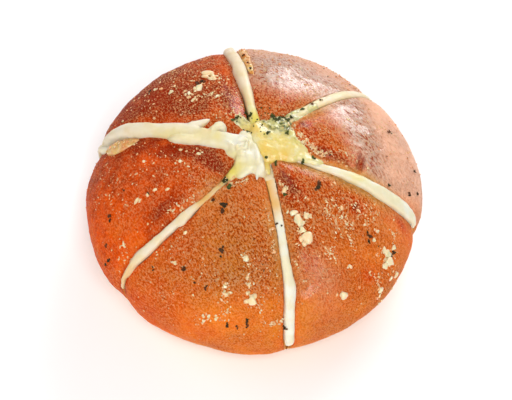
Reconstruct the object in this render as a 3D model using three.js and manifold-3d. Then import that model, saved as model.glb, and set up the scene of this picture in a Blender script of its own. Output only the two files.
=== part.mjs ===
// Garlic cheese bun: a round soft roll, cut from the top into six wedges that stay joined at the foot,
// with cream cheese piped into the cuts and garlic butter pooled where the cuts meet.
// Millimetres, +Z up. The origin is on the flat foot, under the middle of the roll's outline. Angles
// are in degrees about +Z from +X.
import * as THREE from "three";
import { ParametricGeometry } from "three/addons/geometries/ParametricGeometry.js";
import { mergeGeometries, mergeVertices } from "three/addons/utils/BufferGeometryUtils.js";
import Module from "manifold-3d";

const wasm = await Module();
wasm.setup();

// ---- The roll ----
const ROLL_RADIUS = 55; // half of its widest width
const ROLL_HEIGHT = 47.8;
const WIDEST_HEIGHT = 17.2; // height of the widest line above the foot
const FOOT_RADIUS = 42; // flat part that the roll stands on
const DOME_POWER = 2.2; // 2 is an ellipse, more is fuller at the shoulder
// Sides that are drawn in (where the roll touched another one in the oven) or, below 0, bulge out.
const SIDES = [
  { azimuth: 52, depth: 3.3, spread: 28 },
  { azimuth: 132, depth: 1.8, spread: 28 },
  { azimuth: 235, depth: -1.1, spread: 38 },
];
const UNEVENNESS = 0.45; // height of the slow bumps of the crust

// ---- The cuts ----
const CUT_MIDDLE = new THREE.Vector2(1.2, -1.0); // where the three knife strokes cross
const CUT_FLOOR = 5; // the cuts stop this far above the foot
const CUT_END = 1.5; // where a cut closes on the side, in profile steps (see profile)
const WIDTHS_AT = [6, 20, 32, 44, 51]; // distances from the cut middle at which the widths below hold
const EDGE_DROP = 0.9; // the crust bends down beside a cut
const EDGE_REACH = 2.2;
const WEDGE_SWELL = 0.7; // each wedge is puffed up in its middle

// One arm of the cut star, counter-clockwise. mouth is the width of the cut, crown the width of the
// cream on top of it and rise its height above the crust, all at WIDTHS_AT. lean moves the crown
// sideways, stop is the profile step at which the cream ends and taper the length over which it
// narrows to that end. lift raises the wedge that follows the arm.
const ARMS = [
  {
    azimuth: 39.3, bend: 2.2, mouth: [4.6, 3.2, 3.8, 3.6, 3.0], lift: 0.2,
    crown: [3.4, 3.2, 3.8, 3.6, 3.0], rise: [-0.2, 0.3, 0.35, 0.3, 0.2], lean: -0.1, stop: 0.9, taper: 0.12,
  },
  {
    azimuth: 101.4, bend: -0.6, mouth: [5, 3, 3.4, 3.4, 3.2], lift: 0.4,
    crown: [3.4, 3.5, 4.9, 4.3, 3.8], rise: [1.0, 1.8, 2.3, 2.1, 1.5], lean: 0.5, stop: 0.76, taper: 0.14,
  },
  {
    azimuth: 165.9, bend: -1.2, mouth: [5.5, 4, 4, 4, 3.6], lift: 0,
    crown: [7.4, 8, 5.6, 6.8, 5.0], rise: [2.5, 3.0, 2.5, 3.2, 2.0], lean: -0.4, stop: 0.84, taper: 0.14,
  },
  {
    azimuth: 219.3, bend: 2.8, mouth: [5, 1.9, 3.6, 3.9, 3.4], lift: 0,
    crown: [2, 1.9, 3.6, 4.0, 4.2], rise: [-2.4, -1.1, 0.4, 0.8, 0.8], lean: -0.2, stop: 0.99, taper: 0.36,
  },
  {
    azimuth: 279.7, bend: 2.0, mouth: [5, 2.9, 2.8, 3.0, 3.2], lift: 0,
    crown: [2.4, 2.9, 2.8, 4.2, 3.6], rise: [-1.7, -0.8, 0, 1.5, 1.2], lean: 0.3, stop: 1.08, taper: 0.16,
  },
  {
    azimuth: 344.2, bend: -0.6, mouth: [4.8, 2.4, 4.0, 4.4, 3.6], lift: 0.6,
    crown: [2.6, 2.4, 4.2, 4.6, 4.0], rise: [-0.4, 0.3, 1.0, 1.1, 0.9], lean: -0.2, stop: 0.92, taper: 0.2,
  },
];
const FIN_FOOT = 0.35; // the cream reaches down to this share of the cut's depth above the cut floor
const GAP = 0.3; // air left between the solids
const TO_CENTRE = [0.3, 1.1, 0]; // puts the middle of the uneven outline over the origin

// ---- Cream heaped in the middle, and the lip folded over the crust beside one arm ----
// outline holds pairs of an azimuth about the middle and the distance of the edge there.
const HEAP = {
  middle: new THREE.Vector2(-4.5, -2.8),
  rise: 3.4,
  outline: [
    [35, 4.6], [75, 8.2], [107, 6.2], [130, 9.0], [155, 9.0], [182, 5.4], [228, 4.4],
    [262, 10.8], [286, 9.0], [304, 11.6], [331, 7.4],
  ],
};
const LIP = { azimuth: 171, radius: 42.5, length: 11, width: 6, height: 3.4, turn: 8 };

// ---- Garlic butter pooled over the middle ----
const POOL = {
  middle: new THREE.Vector2(6.5, 1.2),
  rise: 2.0,
  outline: [
    [10, 6.6], [38, 7.4], [64, 10.4], [84, 10.2], [106, 8.4], [135, 9.4], [170, 8.0], [209, 7.0],
    [250, 8.4], [280, 7.6], [313, 10.6], [331, 14.4],
  ],
};

// ---- Minced garlic and herb flakes on the crust: azimuth, distance from the axis, length, width ----
const GARLIC = [
  [116.5, 35.4, 4.6, 3.2], [125.1, 29.4, 2.9, 2.5], [299.2, 30.2, 3.5, 2.7], [296.2, 35.2, 3.8, 3.3],
  [298.5, 18.8, 3.0, 2.1], [323.2, 51.7, 3.4, 2.8], [327.5, 49.0, 2.3, 1.9], [301.3, 51.7, 2.8, 2.4],
  [268.9, 47.5, 3.1, 2.6], [204.2, 40.4, 3.6, 1.7], [251.5, 53.2, 2.2, 1.8], [95.2, 38.2, 5.0, 3.0],
  [92.6, 33.4, 3.4, 2.4], [93.5, 42.6, 3.6, 2.8],
];
const FLAKES = [
  [120.3, 32.4, 2.6, 2.0], [324.3, 24.0, 2.8, 1.8], [241.7, 25.2, 2.5, 1.8], [202.9, 49.8, 2.3, 1.8],
  [211.4, 53.6, 2.2, 1.6], [265.0, 52.7, 2.6, 1.4], [267.9, 51.9, 2.0, 1.3], [318.3, 42.6, 2.6, 1.9],
  [321.8, 50.0, 2.4, 1.7], [253.0, 36.4, 2.2, 1.5], [14.8, 44.7, 2.4, 1.6], [349.7, 49.4, 1.9, 1.5],
];
const LOOSE_GARLIC = 14; // smaller pieces, scattered by rule
const LOOSE_SIZES = [1.4, 2.2];
const GARLIC_HEIGHT = 0.6; // of a piece, as a share of its width
const FLAKE_HEIGHT = 0.45;
const SEED = 7;

// ---- Fineness ----
const WEDGE_COLUMNS = 10;
const DOME_ROWS = 12;
const SIDE_ROWS = 4; // from the widest line to the end of the cuts
const SKIRT_ROWS = 4; // from the end of the cuts to the edge of the foot
const FIN_STEPS = 15;
const CROWN_STEPS = 6;
const BLOB_SEGMENTS = 28;
const BLOB_RINGS = 5;

const radians = THREE.MathUtils.degToRad;
const degrees = THREE.MathUtils.radToDeg;
const { clamp, euclideanModulo, lerp, smoothstep } = THREE.MathUtils;

// ---------------------------------------------------------------------------------------------
// Helpers for solids

// One closed solid from surfaces whose borders meet, facing outwards whichever way the surfaces were
// drawn. Faces that have shrunk to a line are dropped.
function solid(...surfaces) {
  const bare = surfaces.map((surface) => {
    const geometry = surface.clone();
    geometry.deleteAttribute("normal");
    geometry.deleteAttribute("uv");
    return geometry;
  });
  const merged = mergeVertices(mergeGeometries(bare), 1e-3);
  const corners = Array.from(merged.index.array);
  const kept = [];
  for (let i = 0; i < corners.length; i += 3) {
    const [a, b, c] = corners.slice(i, i + 3);
    if (a !== b && b !== c && c !== a) kept.push(a, b, c);
  }
  const built = (triangles) =>
    new wasm.Manifold(
      new wasm.Mesh({
        numProp: 3,
        vertProperties: merged.attributes.position.array,
        triVerts: new Uint32Array(triangles),
      }),
    );
  const body = built(kept);
  return body.volume() > 0 ? body : built(kept.reverse());
}

const joined = (pieces) => pieces.reduce((whole, piece) => whole.add(piece));

// The space that a body takes up when it is moved by a distance to every side.
function moved(body, distance) {
  const ways = [[1, 0, 0], [-1, 0, 0], [0, 1, 0], [0, -1, 0], [0, 0, 1], [0, 0, -1]];
  return joined(ways.map((way) => body.translate(way.map((part) => part * distance))));
}

// The largest body of a solid, without the scraps that a cut leaves.
const largest = (body) => body.decompose().sort((a, b) => b.volume() - a.volume())[0];

function geometryOf(body) {
  const { vertProperties, triVerts } = body.getMesh();
  const geometry = new THREE.BufferGeometry();
  geometry.setAttribute("position", new THREE.BufferAttribute(vertProperties, 3));
  geometry.setIndex(new THREE.BufferAttribute(triVerts, 1));
  geometry.computeVertexNormals();
  return geometry;
}

// Value at x of a line through (at[k], values[k]), level beyond both ends.
function along(at, values, x) {
  if (x <= at[0]) return values[0];
  for (let k = 1; k < at.length; k++) {
    if (x <= at[k]) return lerp(values[k - 1], values[k], (x - at[k - 1]) / (at[k] - at[k - 1]));
  }
  return values[at.length - 1];
}

// Signed difference of two azimuths, from -180 to 180.
const turnBetween = (a, b) => euclideanModulo(a - b + 180, 360) - 180;

const bell = (x, spread) => Math.exp(-0.5 * (x / spread) ** 2);

// ---------------------------------------------------------------------------------------------
// The roll's outer form

// Outline of half a section. step 0 is the crown, 1 the widest line, 2 the edge of the foot and 3 the
// middle of the foot. Between 0 and 1 it is a superellipse, between 1 and 2 a quarter ellipse.
function profile(step) {
  if (step <= 1) {
    const angle = ((1 - step) * Math.PI) / 2;
    return {
      r: ROLL_RADIUS * Math.max(Math.cos(angle), 0) ** (2 / DOME_POWER),
      z: WIDEST_HEIGHT + (ROLL_HEIGHT - WIDEST_HEIGHT) * Math.sin(angle) ** (2 / DOME_POWER),
    };
  }
  if (step <= 2) {
    const angle = ((step - 1) * Math.PI) / 2;
    return {
      r: FOOT_RADIUS + (ROLL_RADIUS - FOOT_RADIUS) * Math.cos(angle),
      z: WIDEST_HEIGHT * (1 - Math.sin(angle)),
    };
  }
  return { r: FOOT_RADIUS * (3 - step), z: 0 };
}

// The profile step on the dome at distance r from the axis.
function stepAt(r) {
  return 1 - Math.acos(clamp(r / ROLL_RADIUS, 0, 1) ** (DOME_POWER / 2)) / (Math.PI / 2);
}

// Outward direction of the outline, in the plane of the section.
function profileNormal(step) {
  const before = profile(Math.max(step - 0.01, 0.005));
  const after = profile(Math.min(step + 0.01, 1.99));
  const length = Math.hypot(after.r - before.r, after.z - before.z);
  return { r: -(after.z - before.z) / length, z: (after.r - before.r) / length };
}

// How far the plan is drawn in at an azimuth, as a factor on the radius.
function planScale(azimuth) {
  const drawnIn = SIDES.map((side) => side.depth * bell(turnBetween(azimuth, side.azimuth), side.spread));
  return 1 - drawnIn.reduce((sum, depth) => sum + depth, 0) / ROLL_RADIUS;
}

// Slow bumps of the crust, which fade out towards the foot.
function unevenness(step, azimuth) {
  const a = radians(azimuth);
  const wave =
    Math.sin(3 * a + 4 * step) * Math.cos(5 * step + 1.3) +
    0.6 * Math.sin(7 * a - 6 * step + 0.7) +
    0.4 * Math.cos(11 * a + 9 * step);
  return UNEVENNESS * wave * Math.min(step * 2, 1) * (1 - smoothstep(step, 1.4, 1.95));
}

// A point of the outer form, height above it measured outwards.
function crustPoint(step, azimuth, height) {
  const { r, z } = profile(step);
  const out = step < 2 ? profileNormal(step) : { r: 0, z: 0 };
  const far = (r + out.r * height) * planScale(azimuth);
  const a = radians(azimuth);
  return new THREE.Vector3(far * Math.cos(a), far * Math.sin(a), Math.max(z + out.z * height, 0));
}

// The point of the bare crust above a place in the plan, raised by height.
function crustAbove(x, y, height) {
  const azimuth = degrees(Math.atan2(y, x));
  const step = stepAt(Math.hypot(x, y) / planScale(azimuth));
  return crustPoint(step, azimuth, unevenness(step, azimuth) + height);
}

// ---------------------------------------------------------------------------------------------
// The cuts

// Middle line of an arm in the plan, at a distance from the cut middle.
function armLine(arm, distance) {
  const a = radians(arm.azimuth);
  const side = arm.bend * Math.sin(Math.PI * Math.min(distance / ROLL_RADIUS, 1));
  return new THREE.Vector2(
    CUT_MIDDLE.x + distance * Math.cos(a) - side * Math.sin(a),
    CUT_MIDDLE.y + distance * Math.sin(a) + side * Math.cos(a),
  );
}

// Distance along an arm, and its azimuth, where it is r from the axis on the undented roll.
function armAt(arm, r) {
  let distance = r;
  let point = armLine(arm, distance);
  for (let k = 0; k < 12; k++) {
    distance += r * planScale(degrees(point.angle())) - point.length();
    point = armLine(arm, distance);
  }
  return { distance, azimuth: degrees(point.angle()) };
}

// Half the width of a cut at a profile step. It closes along the side of the roll.
function halfMouth(arm, step, inset) {
  if (step >= CUT_END) return 0;
  const { distance } = armAt(arm, profile(Math.min(step, 1)).r);
  const closing = step <= 1 ? 1 : 1 - ((step - 1) / (CUT_END - 1)) ** 1.6;
  return Math.max((along(WIDTHS_AT, arm.mouth, distance) * closing) / 2 - inset, 0.02);
}

// Azimuth of one bank of a cut: side is 1 for its counter-clockwise bank and -1 for the other.
function bankAzimuth(arm, step, side, inset) {
  const r = profile(Math.min(step, 1)).r;
  const { azimuth } = armAt(arm, r);
  const turn = Math.asin(Math.min(halfMouth(arm, step, inset) / r, 1));
  return azimuth + side * degrees(turn);
}

// The line along the bottom of a cut, at a share of its length, raised where the banks are inset.
function cutFloor(arm, share, inset) {
  const end = armAt(arm, profile(CUT_END).r).distance;
  const distance = end * share;
  const point = armLine(arm, distance);
  const azimuth = degrees(point.angle());
  const step = stepAt(point.length() / planScale(azimuth));
  const depth = profile(step).z - CUT_FLOOR;
  const half = lerp(2.5, halfMouth(arm, Math.min(step, 1), 0), smoothstep(share, 0, 0.12));
  const raise = Math.min((inset * depth) / half, depth * 0.9) * (1 - smoothstep(share, 0.85, 1));
  return new THREE.Vector3(point.x, point.y, CUT_FLOOR + raise);
}

// ---------------------------------------------------------------------------------------------
// The bread: six wedges on one foot

// Profile step of the tip of the wedge between two arms, where their banks meet.
function tipStep(arm, next, inset) {
  let [low, high] = [stepAt(3), stepAt(22)];
  for (let k = 0; k < 30; k++) {
    const middle = (low + high) / 2;
    const open = turnBetween(bankAzimuth(next, middle, -1, inset), bankAzimuth(arm, middle, 1, inset));
    if (open > 0) high = middle;
    else low = middle;
  }
  return (low + high) / 2;
}

const CUT_ROWS = DOME_ROWS + SIDE_ROWS;

// Profile step of a row of a wedge: rows 0 to CUT_ROWS lie between the cuts, the rest below them.
function rowStep(tip, row) {
  if (row <= DOME_ROWS) return lerp(tip, 1, row / DOME_ROWS);
  if (row <= CUT_ROWS) return lerp(1, CUT_END, (row - DOME_ROWS) / SIDE_ROWS);
  if (row <= CUT_ROWS + SKIRT_ROWS) return lerp(CUT_END, 2, (row - CUT_ROWS) / SKIRT_ROWS);
  return 3;
}

// The crust of a wedge and its two cut faces. A larger inset makes the whole wedge larger by it.
function wedgeSurfaces(arm, next, inset) {
  const tip = tipStep(arm, next, inset);
  const rows = CUT_ROWS + SKIRT_ROWS + 1;

  // share runs across the wedge from the arm to the next one, crowded towards both cuts.
  function crust(share, row) {
    const step = rowStep(tip, row);
    const across = 0.5 - 0.5 * Math.cos(Math.PI * share);
    const from = bankAzimuth(arm, step, 1, inset);
    const span = turnBetween(bankAzimuth(next, step, -1, inset), from);
    const azimuth = from + span * across;
    const r = profile(step).r;
    const toCut = radians(Math.min(across, 1 - across) * span) * r;
    const onDome = 1 - smoothstep(step, 0.7, CUT_END);
    const drop = EDGE_DROP * bell(toCut, EDGE_REACH) * (1 - smoothstep(step, 1, 2));
    const broad = smoothstep(radians(span) * r, 0, 14);
    const swell = (WEDGE_SWELL * Math.sin(Math.PI * across) + arm.lift) * broad * onDome;
    return crustPoint(step, azimuth, inset * (step < 2) + swell - drop + unevenness(step, azimuth));
  }

  const top = new ParametricGeometry(
    (u, v, target) => target.copy(crust(u, Math.round(v * rows))),
    WEDGE_COLUMNS,
    rows,
  );
  const face = (share, cut) =>
    new ParametricGeometry(
      (u, v, target) => {
        const row = Math.round(v * CUT_ROWS);
        const bank = crust(share, row);
        const floor = cutFloor(cut, row / CUT_ROWS, inset);
        target.copy(share === 0 ? floor.lerp(bank, u) : bank.lerp(floor, u));
      },
      1,
      CUT_ROWS,
    );
  return [top, face(0, arm), face(1, next)];
}

// The whole bread, or with an inset the space that the fillings keep out of.
function bread(inset) {
  const wedges = ARMS.map((arm, k) => wedgeSurfaces(arm, ARMS[(k + 1) % ARMS.length], inset));
  return solid(...wedges.flat());
}

// ---------------------------------------------------------------------------------------------
// Blobs that lie on the crust

// Distance of the edge of an outline at an azimuth about its own middle.
function edgeDistance(outline, azimuth) {
  const spans = outline.map(([from, distance], k) => {
    const [to, nextDistance] = outline[(k + 1) % outline.length];
    const past = euclideanModulo(azimuth - from, 360);
    return { distance, nextDistance, past, span: euclideanModulo(to - from, 360) };
  });
  const { distance, nextDistance, past, span } = spans.find((each) => each.past <= each.span);
  return lerp(distance, nextDistance, smoothstep(past / span, 0, 1));
}

// A heap with a lobed outline: its top follows the crust, thinning to its edge, and its underside is
// foot below the crust, so that cutting it by what it lies on gives it a bed.
function heap(form, foot) {
  const place = (share, turn, height) => {
    const far = edgeDistance(form.outline, turn) * share;
    const a = radians(turn);
    return crustAbove(form.middle.x + far * Math.cos(a), form.middle.y + far * Math.sin(a), height);
  };
  const ripple = (share, turn) => 1 + 0.16 * Math.sin(5 * radians(turn) + 7 * share) * share;
  const top = new ParametricGeometry(
    (u, v, target) => {
      const thickness = form.rise * Math.sqrt(Math.max(1 - v ** 2.6, 0)) * ripple(v, u * 360);
      target.copy(place(v, u * 360, lerp(thickness, -0.4, v ** 8)));
    },
    BLOB_SEGMENTS,
    BLOB_RINGS,
  );
  const under = new ParametricGeometry(
    (u, v, target) => target.copy(place(1 - v, u * 360, lerp(-0.4, -foot, smoothstep(v, 0, 0.2)))),
    BLOB_SEGMENTS,
    BLOB_RINGS,
  );
  return solid(top, under);
}

// An uneven lump bedded in the crust. draw gives numbers from 0 to 1.
function lump({ azimuth, radius, length, width, height, turn = 0 }, detail, draw) {
  const shape = new THREE.IcosahedronGeometry(0.5, detail);
  shape.deleteAttribute("normal");
  shape.deleteAttribute("uv");
  const ball = mergeVertices(shape, 1e-4);
  const position = ball.attributes.position;
  for (let k = 0; k < position.count; k++) {
    const point = new THREE.Vector3().fromBufferAttribute(position, k).multiplyScalar(0.85 + 0.3 * draw());
    position.setXYZ(k, point.x * length, point.y * width, point.z * height);
  }
  const step = stepAt(radius);
  const bed = crustPoint(step, azimuth, unevenness(step, azimuth) + WEDGE_SWELL * 0.7 + height * 0.2);
  const { r, z } = profileNormal(step);
  const a = radians(azimuth);
  const out = new THREE.Vector3(r * Math.cos(a), r * Math.sin(a), z);
  const upright = new THREE.Quaternion().setFromUnitVectors(new THREE.Vector3(0, 0, 1), out);
  const turned = new THREE.Quaternion().setFromAxisAngle(new THREE.Vector3(0, 0, 1), radians(azimuth + turn));
  ball.applyMatrix4(new THREE.Matrix4().compose(bed, upright.multiply(turned), new THREE.Vector3(1, 1, 1)));
  return solid(ball);
}

// ---------------------------------------------------------------------------------------------
// The cream: a fin down each cut with a crown on top, and the heap in the middle

function fin(arm) {
  // The fin starts beyond the cut middle, so that all fins meet.
  const steps = Array.from({ length: FIN_STEPS + 1 }, (_, k) => lerp(stepAt(2.5), arm.stop, k / FIN_STEPS));

  // One section of the fin, from its foot on one side over the crown to its foot on the other side.
  function section(step) {
    const r = profile(Math.min(step, 1)).r;
    const { distance, azimuth } = armAt(arm, r);
    const base = crustPoint(step, azimuth, unevenness(step, azimuth) - 0.3);
    const across = new THREE.Vector3(-Math.sin(radians(azimuth)), Math.cos(radians(azimuth)), 0);
    const normal = profileNormal(step);
    const out = new THREE.Vector3(
      normal.r * Math.cos(radians(azimuth)),
      normal.r * Math.sin(radians(azimuth)),
      normal.z,
    );
    const ending = Math.sqrt(Math.max(1 - clamp((step - arm.stop) / arm.taper + 1, 0, 1) ** 2, 0.02));
    const mouth = 2 * halfMouth(arm, step, 0) + 0.6;
    const rise = along(WIDTHS_AT, arm.rise, distance);
    const crown = along(WIDTHS_AT, arm.crown, distance);
    const wide = ((rise > 0 ? Math.max(crown, mouth) : mouth) / 2) * lerp(0.35, 1, ending);
    const high = rise * ending + 0.3;
    const share = clamp(distance / armAt(arm, profile(CUT_END).r).distance, 0, 0.96);
    const foot = cutFloor(arm, share, 0).lerp(base, FIN_FOOT);
    const points = [];
    for (let k = 0; k <= CROWN_STEPS; k++) {
      const turn = (Math.PI * k) / CROWN_STEPS;
      const sideways = wide * Math.cos(turn) + arm.lean * Math.max(rise, 0) * 0.4 * Math.sin(turn);
      const lifted = high > 0 ? high * Math.sin(turn) : high;
      points.push(base.clone().addScaledVector(across, sideways).addScaledVector(out, lifted));
    }
    points.push(foot.clone().addScaledVector(across, -0.5));
    points.push(foot.clone().addScaledVector(across, 0.5));
    return points;
  }

  const sections = steps.map(section);
  const around = sections[0].length;
  const skin = new ParametricGeometry(
    (u, v, target) => target.copy(sections[Math.round(v * FIN_STEPS)][Math.round(u * around) % around]),
    around,
    FIN_STEPS,
  );
  const caps = [sections[0], sections[FIN_STEPS]].map((ring, last) => {
    const middle = ring.reduce((sum, point) => sum.add(point), new THREE.Vector3()).divideScalar(around);
    return new ParametricGeometry(
      (u, v, target) => {
        const point = ring[Math.round(u * around) % around];
        target.copy(v < 0.5 === (last === 0) ? middle : point);
      },
      around,
      1,
    );
  });
  return solid(skin, ...caps);
}

function creamBefore(draw) {
  return joined([...ARMS.map(fin), heap(HEAP, 6), lump(LIP, 1, draw)]);
}

// ---------------------------------------------------------------------------------------------
// The three solids

// Numbers from 0 to 1 that are the same at every run.
function drawer(seed) {
  let state = seed;
  return () => {
    state = (state * 1664525 + 1013904223) % 4294967296;
    return state / 4294967296;
  };
}

function toppings() {
  const draw = drawer(SEED);
  const placed = (rows, flatness) =>
    rows.map(([azimuth, radius, length, width]) => {
      return { azimuth, radius, length, width, height: width * flatness };
    });
  const loose = Array.from({ length: LOOSE_GARLIC }, (_, k) => {
    const length = lerp(...LOOSE_SIZES, draw());
    const width = length * lerp(0.6, 0.95, draw());
    const azimuth = ARMS[k % ARMS.length].azimuth + lerp(14, 46, draw());
    return { azimuth, radius: lerp(22, 53, Math.sqrt(draw())), length, width, height: width * GARLIC_HEIGHT };
  });
  const pieces = [...placed(GARLIC, GARLIC_HEIGHT), ...placed(FLAKES, FLAKE_HEIGHT), ...loose];
  return joined(pieces.map((piece) => lump({ ...piece, turn: draw() * 180 }, 0, draw)));
}

const crumbs = toppings();
const keptClear = bread(GAP).add(moved(crumbs, GAP));
const bun = largest(bread(0).add(crumbs));
const cream = largest(creamBefore(drawer(SEED)).subtract(keptClear));
const butter = largest(heap(POOL, 4).subtract(keptClear).subtract(moved(cream, GAP)));

function part(name, body, color, roughness) {
  const material = new THREE.MeshStandardMaterial({ color, roughness, metalness: 0 });
  const mesh = new THREE.Mesh(geometryOf(body.translate(TO_CENTRE)), material);
  mesh.name = name;
  return mesh;
}

const garlicCheeseBun = new THREE.Group();
garlicCheeseBun.add(
  part("bun", bun, 0xc4621f, 0.4),
  part("cream_cheese", cream, 0xf3e9bf, 0.45),
  part("garlic_butter", butter, 0xe8cf6c, 0.25),
);

export default garlicCheeseBun;
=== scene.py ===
"""Garlic cheese bun: the look of the roll, its cream cheese, garlic butter and toppings.

Shapes are worked out in millimetres about the axis of the roll, as surfaces of two parameters, and
are moved to the frame of the solids, in metres, when their mesh is made. Angles are in degrees
about +Z from +X. A profile step runs down half a section of the roll: 0 is its crown, 1 its widest
line, 2 the edge of its foot and 3 the middle of the foot.
"""

import logging
from dataclasses import dataclass, field
from enum import Enum

import bmesh
import bpy
import numpy as np
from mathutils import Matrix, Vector
from mathutils.bvhtree import BVHTree


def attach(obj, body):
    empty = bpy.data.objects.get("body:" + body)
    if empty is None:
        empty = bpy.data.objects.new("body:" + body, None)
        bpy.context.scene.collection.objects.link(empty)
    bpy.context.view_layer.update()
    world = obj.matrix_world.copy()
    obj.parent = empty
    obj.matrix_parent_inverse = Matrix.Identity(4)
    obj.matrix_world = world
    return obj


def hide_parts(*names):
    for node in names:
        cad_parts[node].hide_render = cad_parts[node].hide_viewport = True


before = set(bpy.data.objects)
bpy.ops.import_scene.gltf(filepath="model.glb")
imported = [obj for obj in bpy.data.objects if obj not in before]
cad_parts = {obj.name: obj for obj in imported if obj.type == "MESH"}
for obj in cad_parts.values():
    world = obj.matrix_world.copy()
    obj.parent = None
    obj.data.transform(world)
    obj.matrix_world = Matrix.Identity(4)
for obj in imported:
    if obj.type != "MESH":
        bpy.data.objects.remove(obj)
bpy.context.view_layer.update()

LOG = logging.getLogger("garlic_cheese_bun")
Array = np.ndarray
Socket = bpy.types.NodeSocket
MM = 0.001
TO_CENTRE = np.array([0.3, 1.1, 0.0])
CUT_END = 1.5


# Numbers


def smoothstep(low: float, high: float, x: Array) -> Array:
    """Rise from 0 at low to 1 at high: 3 t squared less 2 t cubed of the share t."""
    share = np.clip((np.asarray(x, float) - low) / (high - low), 0.0, 1.0)
    return share * share * (3.0 - 2.0 * share)


def bell(x: Array, spread: float) -> Array:
    """Bell curve of height 1: e to the power of minus half the square of x over spread."""
    return np.exp(-0.5 * (np.asarray(x, float) / spread) ** 2)


def turn_between(a: Array, b: Array) -> Array:
    """Signed difference of azimuths a and b, from -180 to 180."""
    return np.mod(np.asarray(a, float) - b + 180.0, 360.0) - 180.0


def polar(points: Array) -> tuple[Array, Array]:
    """Distance from the roll's axis, and azimuth, of places with x and y in their last axis."""
    x, y = points[..., 0], points[..., 1]
    return np.hypot(x, y), np.degrees(np.arctan2(y, x))


def lattice(cell: Array, seed: int) -> Array:
    """Random numbers from -1 to 1 at whole-number corners.

    Args:
        cell: whole coordinates, with three in the last axis.
        seed: picks another set of numbers.

    Returns:
        One number for each corner, from multiplying and folding its coordinates.
    """
    mixed = cell[..., 0] * 374761393 + cell[..., 1] * 668265263 + cell[..., 2] * 2246822519
    mixed = (mixed + seed * 97471139) & 0xFFFFFFFF
    mixed = ((mixed ^ (mixed >> 13)) * 1274126177) & 0xFFFFFFFF
    return ((mixed ^ (mixed >> 16)) & 0xFFFF) / 32767.5 - 1.0


def noise(points: Array, size: float, seed: int = 0) -> Array:
    """Soft random field from -1 to 1: the eight corners round a point, blended smoothly.

    Args:
        points: places in millimetres, with three coordinates in the last axis.
        size: distance between corners in millimetres.
        seed: picks another field.

    Returns:
        The field at each point.
    """
    scaled = points / size
    cell = np.floor(scaled).astype(np.int64)
    part = scaled - cell
    part = part * part * (3.0 - 2.0 * part)
    total = np.zeros(points.shape[:-1])
    for corner in np.ndindex(2, 2, 2):
        offset = np.array(corner)
        weight = np.prod(np.where(offset == 1, part, 1.0 - part), axis=-1)
        total += weight * lattice(cell + offset, seed)
    return total


def fractal(points: Array, size: float, octaves: int, seed: int = 0) -> Array:
    """Sum of noise at size, half of it and so on, each at half the strength of the last."""
    return sum(noise(points, size / 2**k, seed + 31 * k) / 2**k for k in range(octaves))


def unit(vectors: Array) -> Array:
    """The vectors divided by their length."""
    return vectors / np.maximum(np.linalg.norm(vectors, axis=-1, keepdims=True), 1e-12)


def sideways(azimuth: Array) -> Array:
    """Level unit vectors at azimuths that point counter-clockwise about the roll's axis."""
    a = np.radians(azimuth)
    return np.stack([-np.sin(a), np.cos(a), np.zeros_like(a)], -1)


def standing(normals: Array, turn: Array) -> Array:
    """Three axes for each thing that lies on a surface.

    Args:
        normals: outward directions of the surface.
        turn: how far each thing is turned, in radians.

    Returns:
        A first axis square to the outward direction and to a helper vector at the turn, a second
        square to that and to the outward direction, and the outward direction.
    """
    helper = np.stack([np.cos(turn), np.sin(turn), 0.3 * np.sin(3 * turn)], -1)
    first = unit(np.cross(normals, helper))
    return np.stack([first, np.cross(normals, first), normals], 1)


def linear(*screen: int) -> tuple[float, float, float, float]:
    """A screen colour as the linear light that shaders take.

    Args:
        *screen: red, green and blue from 0 to 255.

    Returns:
        Their light from 0 to 1 by the sRGB curve, and 1 for full cover.
    """
    share = np.array(screen) / 255.0
    light = np.where(share <= 0.04045, share / 12.92, ((share + 0.055) / 1.055) ** 2.4)
    return (*map(float, light), 1.0)


# The form of the roll, as in the solids


@dataclass(frozen=True)
class Side:
    """A side of the roll that is drawn in, or bulges out where depth is below 0."""

    azimuth: float
    depth: float
    spread: float


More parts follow.
